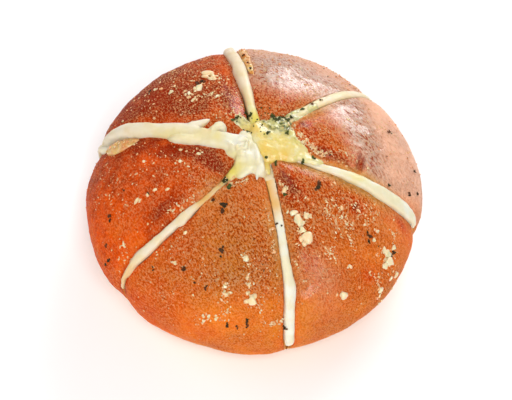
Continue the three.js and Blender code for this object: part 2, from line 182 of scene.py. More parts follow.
@dataclass(frozen=True)
class RollForm:
    """The roll's outer form without its cuts."""

    radius: float = 55.0
    height: float = 47.8
    widest: float = 17.2
    foot: float = 42.0
    power: float = 2.2
    bumps: float = 0.45
    sides: tuple[Side, ...] = (Side(52, 3.3, 28), Side(132, 1.8, 28), Side(235, -1.1, 38))

    def profile(self, step: Array) -> tuple[Array, Array]:
        """Distance from the axis and height of the outline at a profile step.

        Args:
            step: 0 to 1 on the dome, 1 to 2 on the lower side and 2 to 3 under the foot.

        Returns:
            Distance and height. The dome is a superellipse and the lower side a quarter ellipse.
        """
        step = np.asarray(step, float)
        dome = (1.0 - np.clip(step, 0, 1)) * np.pi / 2
        low = (np.clip(step, 1, 2) - 1.0) * np.pi / 2
        r = np.where(
            step <= 1,
            self.radius * np.maximum(np.cos(dome), 0) ** (2 / self.power),
            self.foot + (self.radius - self.foot) * np.cos(low),
        )
        z = np.where(
            step <= 1,
            self.widest + (self.height - self.widest) * np.sin(dome) ** (2 / self.power),
            self.widest * (1 - np.sin(low)),
        )
        under = step > 2
        return np.where(under, self.foot * (3 - step), r), np.where(under, 0.0, z)

    def step_at(self, r: Array) -> Array:
        """Profile step on the dome at a distance from the axis, the reverse of the superellipse."""
        share = np.clip(np.asarray(r, float) / self.radius, 0, 1) ** (self.power / 2)
        return 1 - np.arccos(share) / (np.pi / 2)

    def under(self, plan: Array) -> tuple[Array, Array]:
        """Profile step and azimuth of the dome's point under a place in the plan."""
        r, azimuth = polar(plan)
        return self.step_at(r / self.plan_scale(azimuth)), azimuth

    def slope(self, step: Array) -> tuple[Array, Array]:
        """Outward direction of the outline: its slope over a short stretch, turned by 90 degrees.

        Args:
            step: profile steps.

        Returns:
            Its parts away from the axis and upwards.
        """
        before = self.profile(np.clip(np.asarray(step, float) - 0.01, 0.005, 1.97))
        after = self.profile(np.clip(np.asarray(step, float) + 0.01, 0.025, 1.99))
        dr, dz = after[0] - before[0], after[1] - before[1]
        length = np.maximum(np.hypot(dr, dz), 1e-9)
        return -dz / length, dr / length

    def plan_scale(self, azimuth: Array) -> Array:
        """Factor on the radius at an azimuth: 1 less a bell curve for each drawn-in side."""
        drawn = sum(s.depth * bell(turn_between(azimuth, s.azimuth), s.spread) for s in self.sides)
        return 1 - drawn / self.radius

    def unevenness(self, step: Array, azimuth: Array) -> Array:
        """Slow bumps of the crust.

        Args:
            step: profile steps.
            azimuth: azimuths.

        Returns:
            Height of three waves round the roll, of 3, 7 and 11 crests, that twist with the step
            and fade to the crown and the foot.
        """
        a = np.radians(azimuth)
        wave = (
            np.sin(3 * a + 4 * step) * np.cos(5 * step + 1.3)
            + 0.6 * np.sin(7 * a - 6 * step + 0.7)
            + 0.4 * np.cos(11 * a + 9 * step)
        )
        return self.bumps * wave * np.minimum(step * 2, 1) * (1 - smoothstep(1.4, 1.95, step))

    def point(self, step: Array, azimuth: Array, lift: Array) -> Array:
        """Places on the form.

        Args:
            step: profile steps.
            azimuth: azimuths.
            lift: how far outwards they are moved.

        Returns:
            The outline's distance and height at the step, turned to the azimuth.
        """
        step, azimuth, lift = np.broadcast_arrays(step, azimuth, lift)
        r, z = self.profile(step)
        out_r, out_z = self.slope(step)
        lifted = np.where(step < 2, lift, 0.0)
        far = (r + out_r * lifted) * self.plan_scale(azimuth)
        a = np.radians(azimuth)
        return np.stack([far * np.cos(a), far * np.sin(a), np.maximum(z + out_z * lift, 0)], -1)

    def outward(self, step: Array, azimuth: Array) -> Array:
        """Unit vectors that point out of the form.

        Args:
            step: profile steps.
            azimuth: azimuths.

        Returns:
            The slope's outward direction, turned to the azimuth.
        """
        step, azimuth = np.broadcast_arrays(step, azimuth)
        out_r, out_z = self.slope(step)
        a = np.radians(azimuth)
        return np.stack([out_r * np.cos(a), out_r * np.sin(a), out_z], -1)


# The cuts


class Fill(Enum):
    """How the cream lies in a cut."""

    PROUD = "a rope that stands over both banks"
    FLUSH = "a band that fills the cut from bank to bank"


@dataclass(frozen=True)
class Arm:
    """One arm of the cuts, with the cream in it.

    Its line starts out at azimuth and bows sideways by bend. The cream ends at the profile step
    stop, rounded off over taper steps, and lift raises the wedge that follows. A station holds the
    distance from the middle of the cuts, how far the cream reaches to the counter-clockwise and to
    the clockwise side of the line, and its height over the crust.
    """

    azimuth: float
    bend: float
    fill: Fill
    stop: float
    taper: float
    lift: float
    stations: tuple[tuple[float, float, float, float], ...]

    def cream(self, distance: Array) -> tuple[Array, Array, Array]:
        """The three values of the stations at a distance, eased over 2 mm.

        Args:
            distance: millimetres from the middle of the cuts.

        Returns:
            Reach counter-clockwise, reach clockwise and height, each the mean of five straight
            readings around the distance.
        """
        at = np.array(self.stations).T
        shifts = (-1.6, -0.8, 0.0, 0.8, 1.6)
        eased = [
            sum(np.interp(distance + shift, at[0], at[k]) for shift in shifts) / len(shifts)
            for k in (1, 2, 3)
        ]
        return eased[0], eased[1], eased[2]


NORTH_EAST = Arm(
    39.3, 2.2, Fill.FLUSH, 0.9, 0.12, 0.2,
    ((6, 2.3, 2.3, -0.2), (14, 2, 1, 0.3), (24, 1.9, 1.3, 0.35), (30, 1.9, 1.9, 0.3),
     (37, 1.7, 1.9, 0.4), (43, 1.4, 2, 0.3), (47, 1.2, 1.7, 0.2), (53, 1.1, 1.2, 0.1)),
)
NORTH = Arm(
    101.4, -0.6, Fill.PROUD, 0.76, 0.1, 0.4,
    ((6, 1.2, 1.2, -0.6), (11, 1.2, 1.4, 0.8), (15, 1.3, 1.7, 1.7), (22, 1.5, 1.9, 1.9),
     (27, 2.2, 1.9, 2.1), (33, 2.7, 2.3, 2.4), (37, 1.9, 2.2, 2.1), (42, 2.4, 1.8, 2.1),
     (47, 2.6, 1.2, 1.7)),
)
WEST = Arm(
    165.9, -1.2, Fill.PROUD, 0.84, 0.12, 0,
    ((6, 3.8, 1.2, 2.4), (12, 5, 0.6, 2.5), (17, 5, 0.8, 2.2), (22, 4.4, 2, 2),
     (26, 4, 2.6, 2), (29, 3.8, 2.4, 2), (33, 3.3, 1.8, 2.1), (38, 2.8, 2.4, 2.6),
     (44, 2.4, 3, 2.8), (48, 2.2, 2.6, 2.6), (51, 1.5, 2, 2), (53, 0.9, 1.2, 1)),
)
SOUTH_WEST = Arm(
    219.3, 2.8, Fill.FLUSH, 0.98, 0.22, 0,
    ((6, 2.3, 2.3, -2.4), (12, 1.3, 1, -2), (18, 1.2, 0.6, -1.5), (24, 1.4, 0.6, -0.9),
     (29, 1.3, 0.8, -0.2), (32, 2.1, 1.2, 0.5), (35, 1.5, 1.1, 0.2), (39, 1.8, 1, 0.7),
     (44, 2.1, 1, 0.8), (49, 2.1, 1.7, 1.2), (51.5, 1.5, 0.8, 0.9), (54, 0.7, 0.5, 0.4)),
)
SOUTH = Arm(
    279.7, 2, Fill.FLUSH, 1.08, 0.14, 0,
    ((6, 2.3, 2, -1.7), (9, 2.2, 1.3, -1.5), (15, 1.7, 1.3, -1.1), (23, 1.2, 1.5, -0.6),
     (28, 1.1, 1.4, -0.2), (35, 1.3, 1.4, 0.1), (41, 1.8, 1.1, 0.6), (45, 3, 1, 1.7),
     (48, 2.4, 1.1, 1.5), (51, 2.1, 1.2, 1.2), (54, 1.9, 1.3, 1.3)),
)
SOUTH_EAST = Arm(
    344.2, -0.6, Fill.FLUSH, 0.92, 0.16, 0.6,
    ((6, 2.2, 2.2, -0.4), (12, 1.3, 1.4, 0.1), (18, 1, 1.4, 0.2), (22, 1.1, 1.5, 0.3),
     (27, 1.6, 1.4, 0.6), (32, 2.2, 1.8, 1.1), (36, 1.8, 1.8, 0.8), (40, 2.1, 2.5, 1.2),
     (46, 2.1, 2.5, 1.1), (50, 2, 2.1, 0.9), (53, 1.2, 1.2, 0.6)),
)


@dataclass
class CutStar:
    """The six cuts, and where their banks and floors run."""

    roll: RollForm
    arms: tuple[Arm, ...] = (NORTH_EAST, NORTH, WEST, SOUTH_WEST, SOUTH, SOUTH_EAST)
    middle: tuple[float, float] = (1.2, -1.0)
    floor_height: float = 5.0
    proud_mouth: float = 1.75
    most_flush: float = 2.3
    wobble: float = 0.22
    closing: float = 1.6
    steps: Array = field(init=False)
    banks: Array = field(init=False)
    distances: Array = field(init=False)

    def __post_init__(self) -> None:
        """Tabulates each arm's line and its two banks over the profile steps."""
        self.steps = np.linspace(0.02, CUT_END, 900)
        r = self.roll.profile(np.minimum(self.steps, 1.0))[0]
        rows, distances = [], []
        for index, arm in enumerate(self.arms):
            distance, azimuth = self._reach(arm, r)
            mouth = self._mouth(arm, index, distance)
            turns = [np.degrees(np.arcsin(np.clip(half / r, 0, 1))) for half in mouth]
            rows.append([azimuth, azimuth + turns[0], azimuth - turns[1]])
            distances.append(distance)
        self.banks = np.array(rows)
        self.distances = np.array(distances)

    def line(self, arm: Arm, distance: Array) -> Array:
        """An arm's line in the plan.

        Args:
            arm: the arm.
            distance: distances from the middle of the cuts.

        Returns:
            Places straight out from the middle, with a sideways bow of half a sine wave.
        """
        a = np.radians(arm.azimuth)
        side = arm.bend * np.sin(np.pi * np.minimum(distance / self.roll.radius, 1))
        x = self.middle[0] + distance * np.cos(a) - side * np.sin(a)
        y = self.middle[1] + distance * np.sin(a) + side * np.cos(a)
        return np.stack([x, y], -1)

    def _reach(self, arm: Arm, r: Array) -> tuple[Array, Array]:
        """Where an arm's line crosses circles round the roll, found by repeated steps.

        Args:
            arm: the arm.
            r: radii of the circles, before the roll's sides are drawn in.

        Returns:
            Distances along the line, and azimuths.
        """
        distance = np.array(r, float)
        for _ in range(14):
            far, azimuth = polar(self.line(arm, distance))
            distance = distance + r * self.roll.plan_scale(azimuth) - far
        azimuth = polar(self.line(arm, distance))[1]
        return distance, arm.azimuth + turn_between(azimuth, arm.azimuth)

    def _mouth(self, arm: Arm, index: int, distance: Array) -> tuple[Array, Array]:
        """Half widths of a cut, which close along the side of the roll.

        Args:
            arm: the cut's arm.
            index: its number, which picks its noise.
            distance: distances along it, one for each of the star's steps.

        Returns:
            Half widths on the counter-clockwise and the clockwise side of the arm's line.
        """
        ccw, cw, _ = arm.cream(distance)
        if arm.fill is Fill.PROUD:
            near = smoothstep(14, 6, distance)
            ccw = cw = self.proud_mouth + 0.75 * near
        ccw, cw = (np.minimum(half, self.most_flush) for half in (ccw, cw))
        past = np.clip((self.steps - 1) / (CUT_END - 1), 0, 1)
        closing = 1 - past**self.closing
        wander = np.stack([distance, np.full_like(distance, 40.0 * index), past * 30], -1)
        fade = smoothstep(5, 12, distance) * closing
        left, right = (
            np.maximum(half * closing + self.wobble * fade * fractal(wander, 5.0, 3, seed), 0.0)
            for seed, half in ((1, ccw), (2, cw))
        )
        return left, right

    def bank(self, index: int, step: Array, side: int) -> Array:
        """Azimuth of an arm's line (side 0) or of its counter-clockwise (1) or other (2) bank."""
        return np.interp(np.minimum(step, CUT_END), self.steps, self.banks[index, side])

    def distance(self, index: int, step: Array) -> Array:
        """Distance from the middle of the cuts along an arm at a profile step."""
        return np.interp(step, self.steps, self.distances[index])

    def floor(self, index: int, share: Array) -> Array:
        """Line along the bottom of a cut, at a share of its length."""
        end = self.distance(index, CUT_END)
        place = self.line(self.arms[index], end * share)
        return np.concatenate([place, np.full((*place.shape[:-1], 1), self.floor_height)], -1)

    def tip(self, index: int) -> float:
        """Profile step at which the two banks of a wedge meet.

        Args:
            index: the number of the arm before the wedge.

        Returns:
            The step, found by halving the stretch from 3 to 22 mm off the axis.
        """
        low, high = float(self.roll.step_at(3.0)), float(self.roll.step_at(22.0))
        following = (index + 1) % len(self.arms)
        for _ in range(40):
            middle = (low + high) / 2
            start, end = self.bank(index, middle, 1), self.bank(following, middle, 2)
            low, high = (low, middle) if turn_between(end, start) > 0 else (middle, high)
        return (low + high) / 2


@dataclass(frozen=True)
class Spot:
    """A long round spot in the plan, with an amount at its middle that fades outwards."""

    x: float
    y: float
    amount: float
    length: float
    width: float
    turn: float = 0.0

    def at(self, points: Array) -> Array:
        """The amount at places.

        Args:
            points: the places, with x and y first in the last axis.

        Returns:
            A bell curve along the spot times one across it.
        """
        a = np.radians(self.turn)
        dx, dy = points[..., 0] - self.x, points[..., 1] - self.y
        along, across = dx * np.cos(a) + dy * np.sin(a), dy * np.cos(a) - dx * np.sin(a)
        return self.amount * bell(along, self.length) * bell(across, self.width)


@dataclass(frozen=True)
class Sector:
    """A sector of the plan with an amount that grows from the distance start to the distance full.

    It fades outwards where start is the greater, and is nothing up to the distance inner.
    """

    azimuth: float
    spread: float
    amount: float
    start: float = -1.0
    full: float = 0.0
    inner: float = 0.0

    def at(self, points: Array) -> Array:
        """The amount at places.

        Args:
            points: the places, with x and y first in the last axis.

        Returns:
            A bell curve over the azimuth times a smooth step over the distance.
        """
        r, azimuth = polar(points)
        reach = smoothstep(self.start, self.full, r) * (r > self.inner)
        return self.amount * bell(turn_between(azimuth, self.azimuth), self.spread) * reach


# hollows of the crust, with their depth, and where it is darker: painted shade in the hollows and
# beside the cream and the butter, and some darker patches of crust
DENTS = (
    Spot(33.3, -4.2, 1.6, 2.3, 0.7, 80), Spot(29.8, -5.8, 0.9, 1.8, 0.6, -38),
    Spot(22.8, -4.2, 1, 2.6, 1.2, -25), Spot(-8.4, 27, 0.6, 4.5, 0.9, 98),
    Spot(9.6, -13.4, 0.5, 3.2, 0.7, -58), Spot(-33.6, -26, 0.5, 1.8, 0.35, 62),
)
# painted shade in the dents and beside the cream strands and the butter, with some darker patches
# of crust
DARK_SPOTS = (
    Spot(33.3, -4.6, 1.4, 2.4, 0.9, 80), Spot(22.8, -4, 0.6, 4, 2, -25),
    Spot(29.6, -6.2, 0.8, 2.6, 0.9, -38), Spot(-16.2, 21.5, 0.4, 3, 2.4),
    Spot(-19, 16.9, 0.35, 3.4, 3), Spot(-8.7, 18, 0.3, 6, 2, 98),
    Spot(-27, -20.5, 0.3, 6, 2.2, 40), Spot(31.7, -19.4, 0.45, 2.2, 1.4, -50),
    Spot(35.5, -38.5, 0.3, 2.2, 1.4, 30), Spot(46.5, -19.6, 0.35, 2.2, 1.2, -40),
    Spot(10, -14, 0.5, 4, 1.6, -58), Spot(14, 9.5, 0.5, 4, 1.6, -60),
    Spot(-12.5, -8, 0.5, 4.5, 2, -35), Spot(-22, -2.2, 0.4, 9, 1.8, -8),
    Spot(-38, 5.5, 0.35, 8, 2, -10), Spot(8, -34.5, 0.3, 9, 1.6, -76),
    Spot(16, -37, 0.2, 7, 2, -60),
)


# where the crust is darker, where its skin is calm, and where butter has soaked into it
DARKER_SECTORS = (Sector(135, 26, 0.5, 12, 44), Sector(204, 34, 0.28, 14, 44))
CALM = (
    Sector(198, 32, 0.95, 14, 30), Sector(260, 50, 0.8, 40, 54), Sector(26, 52, 1.1, 36, 44),
    Sector(142, 26, 0.8, 24, 42), Spot(44, -22, 1, 5, 5),
)
BUTTERED = (
    Spot(24, -10, 1.6, 10, 4, -16), Spot(6.5, -31, 0.8, 9, 3, -77), Spot(18, 12, 0.8, 9, 3, 40),
    Spot(-14, -16, 0.3, 6, 3, 40), Spot(31, -10, 0.7, 6, 4, -16),
)
# where the cream is soaked and where it is yellow, and the hollows of the butter
SOAKED_CREAM = (
    Sector(277, 10, 1.1, 29, 21, 13.5), Sector(101, 10, 0.34, inner=14),
    Sector(38, 10, 0.3, inner=14), Spot(-40.5, -36, 0.5, 2.2, 2.2),
)
BUTTERY_CREAM = (
    Spot(-7.4, -10.4, 1, 2.4, 2.2), Spot(1.4, 7.4, 1.2, 4.6, 2.6, -65),
    Spot(-11.5, 1.4, 0.35, 1.6, 1.6), Spot(-7, -4.6, 0.3, 3.5, 1.6, -40),
    Spot(-24, 3.6, 0.4, 7, 2.2, -12), Spot(-1.6, -8.8, 0.3, 2.4, 2),
    Spot(32.6, -9.8, 0.5, 2.2, 1.6), Spot(14, 14, 0.4, 5, 3, 45),
)
BUTTER_WELLS = (
    Spot(-0.6, 5, 1, 2.2, 2.2), Spot(2.6, -3.4, 1, 2, 2), Spot(9, -4.6, 1, 2, 2),
    Spot(3.8, -8, 1, 2, 2),
)


def amount(areas: tuple[Spot | Sector, ...], points: Array) -> Array:
    """Sum of the amounts of spots and sectors at these places."""
    return sum(area.at(points) for area in areas)


def darkened(points: Array) -> Array:
    """How much darker than the crust around them these places are, from 0 to 1: painted shade in
    hollows and beside the cream, and darker patches of crust.
    """
    return np.clip(amount(DARK_SPOTS, points), 0, 1)


@dataclass
class Bread:
    """The crust over the whole roll: its form, with the wedges puffed up between the cuts."""

    roll: RollForm
    star: CutStar
    edge_drop: float = 0.75
    edge_reach: float = 2.0
    edge_round: float = 0.45
    swell: float = 0.7

    def wedge(self, step: Array, azimuth: Array) -> tuple[Array, Array, Array, Array]:
        """Where a place lies in its wedge.

        Args:
            step: profile steps.
            azimuth: azimuths.

        Returns:
            The share of the way across the wedge, the distance to the nearer cut, the wedge's
            width there and its lift.
        """
        step, azimuth = np.broadcast_arrays(np.asarray(step, float), np.asarray(azimuth, float))
        count = len(self.star.arms)
        start = np.stack([self.star.bank(k, step, 1) for k in range(count)])
        end = np.stack([self.star.bank((k + 1) % count, step, 2) for k in range(count)])
        span = np.maximum(turn_between(end, start), 1e-9)
        past = turn_between(azimuth[None], start)
        outside = np.maximum(-past, 0) + np.maximum(past - span, 0)
        pick = np.argmin(outside, axis=0)[None]
        span, past = (np.take_along_axis(turns, pick, 0)[0] for turns in (span, past))
        across = np.clip(past / span, 0, 1)
        width = np.radians(span) * self.roll.profile(step)[0]
        lifts = np.array([arm.lift for arm in self.star.arms])
        return across, np.minimum(across, 1 - across) * width, width, lifts[pick[0]]

    def relief(self, step: Array, azimuth: Array, fine: bool = True) -> Array:
        """Height of the crust over the plain form.

        Args:
            step: profile steps.
            azimuth: azimuths.
            fine: whether the wrinkles are added.

        Returns:
            The slow bumps, plus a swell of half a sine wave across each wedge, less a bell-shaped
            drop and a rounding beside each cut, less the dents, plus the wrinkles.
        """
        across, to_cut, width, lift = self.wedge(step, azimuth)
        on_dome = 1 - smoothstep(0.7, CUT_END, step)
        on_side = 1 - smoothstep(1, CUT_END, step)
        broad = smoothstep(0, 14, width)
        height = self.roll.unevenness(step, azimuth)
        height = height + (self.swell * np.sin(np.pi * across) + lift) * broad * on_dome
        height = height - self.edge_drop * bell(to_cut, self.edge_reach) * on_side
        share = 1 - np.clip(to_cut / self.edge_round, 0, 1)
        height = height - self.edge_round * (1 - np.sqrt(np.maximum(1 - share**2, 0))) * on_side
        flat = self.roll.point(step, azimuth, 0.0)
        height = height - amount(DENTS, flat) * on_dome
        if fine:
            height = height + self.wrinkles(flat, step, to_cut)
        return height

    @staticmethod
    def wrinkles(places: Array, step: Array, to_cut: Array) -> Array:
        """Dimples and creases of the baked skin.

        Args:
            places: places on the roll.
            step: their profile steps.
            to_cut: their distances to the nearest cut.

        Returns:
            Noise of 7 mm, folded noise of 3 mm and finer noise, fading to the cuts and the foot.
        """
        slow = 0.22 * fractal(places, 7.0, 2, 5)
        crease = 0.16 * (0.5 - np.abs(noise(places * [1, 1, 1.6], 3.0, 8)))
        grain = 0.07 * noise(places, 1.4, 12) + 0.05 * noise(places, 0.9, 14)
        fade = (0.35 + 0.65 * smoothstep(0.3, 2.2, to_cut)) * (1 - smoothstep(1.75, 2.0, step))
        return (slow + crease + grain) * fade

    def point(self, step: Array, azimuth: Array) -> Array:
        """Places on the crust at profile steps and azimuths."""
        return self.roll.point(step, azimuth, self.relief(step, azimuth))


# Meshes


def grid_faces(rows: int, columns: int, closed: bool = False) -> Array:
    """Faces of a grid of points.

    Args:
        rows: rows of points.
        columns: points in a row.
        closed: whether the last column meets the first.

    Returns:
        The numbers of the four corners of each face.
    """
    row, column = np.meshgrid(np.arange(rows - 1), np.arange(columns - (not closed)), indexing="ij")
    following = (column + 1) % columns
    first, last = row * columns, (row + 1) * columns
    corners = [first + column, first + following, last + following, last + column]
    return np.stack(corners, -1).reshape(-1, 4)


@dataclass
class Patch:
    """A stretch of surface: points, faces and values at the points."""

    points: Array
    faces: Array
    values: dict[str, Array] = field(default_factory=dict)

    @classmethod
    def of_grid(cls, points: Array, closed: bool = False, **values: Array | float) -> "Patch":
        """Makes a patch from a grid.

        Args:
            points: rows by columns of places.
            closed: whether the last column meets the first.
            **values: values on the same grid, or one for all of it.

        Returns:
            The patch.
        """
        faces = grid_faces(points.shape[0], points.shape[1], closed)
        flat = {name: np.broadcast_to(v, points.shape[:2]).ravel() for name, v in values.items()}
        return cls(points.reshape(-1, 3), faces, flat)

    @classmethod
    def joined(cls, patches: list["Patch"]) -> "Patch":
        """Puts patches together in one.

        Args:
            patches: patches with the same values.

        Returns:
            Their points, faces and values, one patch after another.
        """
        starts = np.cumsum([0] + [len(p.points) for p in patches[:-1]])
        names = patches[0].values
        return cls(
            np.concatenate([p.points for p in patches]),
            np.concatenate([p.faces + start for p, start in zip(patches, starts)]),
            {name: np.concatenate([p.values[name] for p in patches]) for name in names},
        )


def mark(mesh: bpy.types.Mesh, values: dict[str, Array]) -> None:
    """Keeps values at a mesh's points as attributes that materials read.

    Args:
        mesh: the mesh.
        values: one number for each point, under each attribute's name.
    """
    for name, numbers in values.items():
        layer = mesh.attributes.new(name, "FLOAT", "POINT")
        layer.data.foreach_set("value", np.ascontiguousarray(numbers, np.float32))


def placed(name: str, data: bpy.types.ID) -> bpy.types.Object:
    """Puts an object with a mesh, lamp or camera into the scene."""
    made = bpy.data.objects.new(name, data)
    bpy.context.scene.collection.objects.link(made)
    return made


def make_piece(name: str, patch: Patch, weld: float = 0.002) -> bpy.types.Object:
    """Makes an object from a patch, closed where its borders meet and facing outwards.

    Args:
        name: the piece's name.
        patch: its surface in millimetres.
        weld: points closer than this become one, in millimetres. 0 leaves them.

    Returns:
        The object, smooth, with the patch's values as attributes of its points.
    """
    mesh = bpy.data.meshes.new(name)
    mesh.from_pydata(((patch.points + TO_CENTRE) * MM).tolist(), [], patch.faces.tolist())
    mark(mesh, patch.values)
    work = bmesh.new()
    work.from_mesh(mesh)
    if weld > 0:
        bmesh.ops.remove_doubles(work, verts=work.verts, dist=weld * MM)
    bmesh.ops.recalc_face_normals(work, faces=work.faces)
    work.to_mesh(mesh)
    work.free()
    mesh.shade_smooth()
    return placed(name, mesh)


def vectors_of(mesh: bpy.types.Mesh, kind: str) -> Array:
    """A vector for each point of a mesh: its place, co, or its outward direction, normal."""
    flat = np.empty(len(mesh.vertices) * 3, np.float32)
    mesh.vertices.foreach_get(kind, flat)
    return flat.reshape(-1, 3).astype(float)


def points_of(mesh: bpy.types.Mesh) -> Array:
    """The mesh's points in millimetres about the roll's axis."""
    return vectors_of(mesh, "co") / MM - TO_CENTRE


def set_points(mesh: bpy.types.Mesh, points: Array) -> None:
    """Moves the mesh's points to these places in millimetres."""
    mesh.vertices.foreach_set("co", ((points + TO_CENTRE) * MM).astype(np.float32).ravel())
    mesh.update()


def relax(mesh: bpy.types.Mesh, rounds: int, pull: float = 0.5) -> None:
    """Softens a mesh: a round moves every point part of the way to the mean of its neighbours.

    Args:
        mesh: the mesh.
        rounds: how often.
        pull: the part of the way.
    """
    ends = np.empty(len(mesh.edges) * 2, np.int32)
    mesh.edges.foreach_get("vertices", ends)
    a, b = ends.reshape(-1, 2).T
    points = points_of(mesh)
    count = np.bincount(a, minlength=len(points)) + np.bincount(b, minlength=len(points))
    size = len(points)
    for _ in range(rounds):
        sums = [
            np.bincount(a, points[b, k], size) + np.bincount(b, points[a, k], size)
            for k in range(3)
        ]
        points += pull * (np.stack(sums, -1) / np.maximum(count, 1)[:, None] - points)
    set_points(mesh, points)


def fused(name: str, patch: Patch, voxel: float, rounds: int) -> bpy.types.Object:
    """Melts the overlapping closed bodies of a patch into one skin.

    Args:
        name: the piece's name.
        patch: the bodies, in millimetres.
        voxel: fineness of the new skin in millimetres.
        rounds: how often it is softened.

    Returns:
        The new object, with its modifier already worked into its mesh.
    """
    rough = make_piece(name + "_rough", patch)
    remesh = rough.modifiers.new("fuse", "REMESH")
    remesh.mode = "VOXEL"
    remesh.voxel_size = voxel * MM
    ready = rough.evaluated_get(bpy.context.evaluated_depsgraph_get())
    mesh = bpy.data.meshes.new_from_object(ready)
    mesh.name = name
    bpy.data.objects.remove(rough)
    relax(mesh, rounds)
    mesh.shade_smooth()
    return placed(name, mesh)


def capped(rings: Array) -> Patch:
    """A closed body of rings of points, whose ends are drawn together to a point."""
    ends = (np.broadcast_to(ring.mean(0), rings[:1].shape) for ring in (rings[0], rings[-1]))
    first, last = ends
    return Patch.of_grid(np.concatenate([first, rings, last]), closed=True)


def swept(centres: Array, sides: Array, lifts: Array, across: Array, up: Array) -> Patch:
    """A closed body carried along a path.

    Args:
        centres: the path, one place a row.
        sides: sideways unit vectors of the path.
        lifts: outward unit vectors of the path.
        across: sideways place of each point of each section, rows by points.
        up: outward place of each point of each section.

    Returns:
        The capped skin. A point of it is its row's centre, plus its sideways place along the side,
        plus its outward place along the lift.
    """
    rows = centres[:, None] + across[..., None] * sides[:, None] + up[..., None] * lifts[:, None]
    return capped(rows)


# Finishes


class Desk:
    """A material's node tree, with short ways to lay out its nodes."""

    def __init__(self, name: str) -> None:
        """Starts a material with one surface shader."""
        self.material = bpy.data.materials.new(name)
        self.material.use_nodes = True
        self.tree = self.material.node_tree
        self.tree.nodes.clear()
        self.shader = self.tree.nodes.new("ShaderNodeBsdfPrincipled")
        self.node("OutputMaterial", Surface=self.shader.outputs[0])
        self.place = self.node("TexCoord").outputs["Object"]

    def feed(self, socket: Socket, value: object) -> None:
        """Fills a socket.

        Args:
            socket: the socket.
            value: a number or colour that it is set to, or another socket that it is linked to.
        """
        if isinstance(value, Socket):
            self.tree.links.new(value, socket)
        else:
            socket.default_value = value

    def give(self, node: bpy.types.Node, **values: object) -> None:
        """Feeds the inputs of a node, named with underscores for spaces."""
        for name, value in values.items():
            self.feed(node.inputs[name.replace("_", " ")], value)

    def node(self, kind: str, **values: object) -> bpy.types.Node:
        """Adds a node of a kind and feeds its inputs."""
        made = self.tree.nodes.new("ShaderNode" + kind)
        self.give(made, **values)
        return made

    def attribute(self, name: str) -> Socket:
        """A value that the mesh carries at its points."""
        node = self.node("Attribute")
        node.attribute_name = name
        return node.outputs["Fac"]

    def grain(
        self,
        size: float,
        detail: float = 3.0,
        rough: float = 0.55,
        stretch: tuple[float, float, float] | None = None,
        turn: float = 0.0,
    ) -> Socket:
        """Cloudy noise, from about 0.2 to 0.8.

        Args:
            size: size of its features in millimetres.
            detail: finer layers added.
            rough: strength of each layer against the last.
            stretch: factors on the features' length, width and height.
            turn: direction of their length about +Z from +X in degrees.

        Returns:
            The noise.
        """
        place = self.place
        if stretch:
            mapping = self.node("Mapping", Vector=place, Scale=stretch)
            mapping.vector_type = "TEXTURE"
            mapping.inputs["Rotation"].default_value[2] = float(np.radians(turn))
            place = mapping.outputs["Vector"]
        scale = 1 / (size * MM)
        node = self.node("TexNoise", Vector=place, Scale=scale, Detail=detail, Roughness=rough)
        return node.outputs["Fac"]

    def cells(self, size: float) -> Socket:
        """Distance to the nearest of scattered points that lie about size millimetres apart."""
        node = self.node("TexVoronoi", Vector=self.place, Scale=1 / (size * MM))
        return node.outputs["Distance"]

    def maths(self, kind: str, *values: object) -> Socket:
        """Works out one value from two.

        Args:
            kind: ADD, MULTIPLY or MAXIMUM, with _CLAMP behind it to hold the result to 0 to 1.
            *values: the two values.

        Returns:
            The result.
        """
        node = self.node("Math")
        node.operation = kind.removesuffix("_CLAMP")
        node.use_clamp = kind.endswith("_CLAMP")
        for socket, value in zip(node.inputs, values):
            self.feed(socket, value)
        return node.outputs[0]

    def between(self, value: object, low: float, high: float) -> Socket:
        """0 where value is low, 1 where it is high, and a soft rise between."""
        node = self.node("MapRange", Value=value, From_Min=low, From_Max=high)
        node.interpolation_type = "SMOOTHSTEP"
        return node.outputs["Result"]

    def spread(self, value: object, low: float, high: float) -> Socket:
        """Turns 0 to 1 into low to high."""
        return self.node("MapRange", Value=value, To_Min=low, To_Max=high).outputs["Result"]

    def mixed(self, share: object, first: object, second: object) -> Socket:
        """Colour that goes from first to second as share goes from 0 to 1."""
        return self._mix("RGBA", share, first, second, 6, 2)

    def blend(self, share: object, first: object, second: object) -> Socket:
        """Value that goes from first to second as share goes from 0 to 1."""
        return self._mix("FLOAT", share, first, second, 2, 0)

    def _mix(
        self, kind: str, share: object, first: object, second: object, at: int, out: int
    ) -> Socket:
        """Goes from one value to another.

        Args:
            kind: RGBA for colours or FLOAT for numbers.
            share: how far it goes, from 0 to 1.
            first: value at 0.
            second: value at 1.
            at: number of the node's input for the first value, which the second follows.
            out: number of its output.

        Returns:
            The mixed value.
        """
        node = self.node("Mix")
        node.data_type = kind
        for index, value in ((0, share), (at, first), (at + 1, second)):
            self.feed(node.inputs[index], value)
        return node.outputs[out]

    def ramp(self, value: object, stops: tuple[tuple[float, tuple], ...]) -> Socket:
        """Colour from a row of stops.

        Args:
            value: where on the row, from 0 to 1.
            stops: places from 0 to 1, each with its colour.

        Returns:
            The colour.
        """
        node = self.node("ValToRGB", Fac=value)
        elements = node.color_ramp.elements
        for _ in range(len(stops) - 2):
            elements.new(0.5)
        for element, (place, colour) in zip(elements, stops):
            element.position = place
            element.color = colour
        return node.outputs[0]

    def bump(self, height: object, depth: float) -> None:
        """Gives the shader relief of a depth in millimetres where height goes from 0 to 1."""
        node = self.node("Bump", Strength=1.0, Distance=depth * MM, Height=height)
        self.give(self.shader, Normal=node.outputs[0])


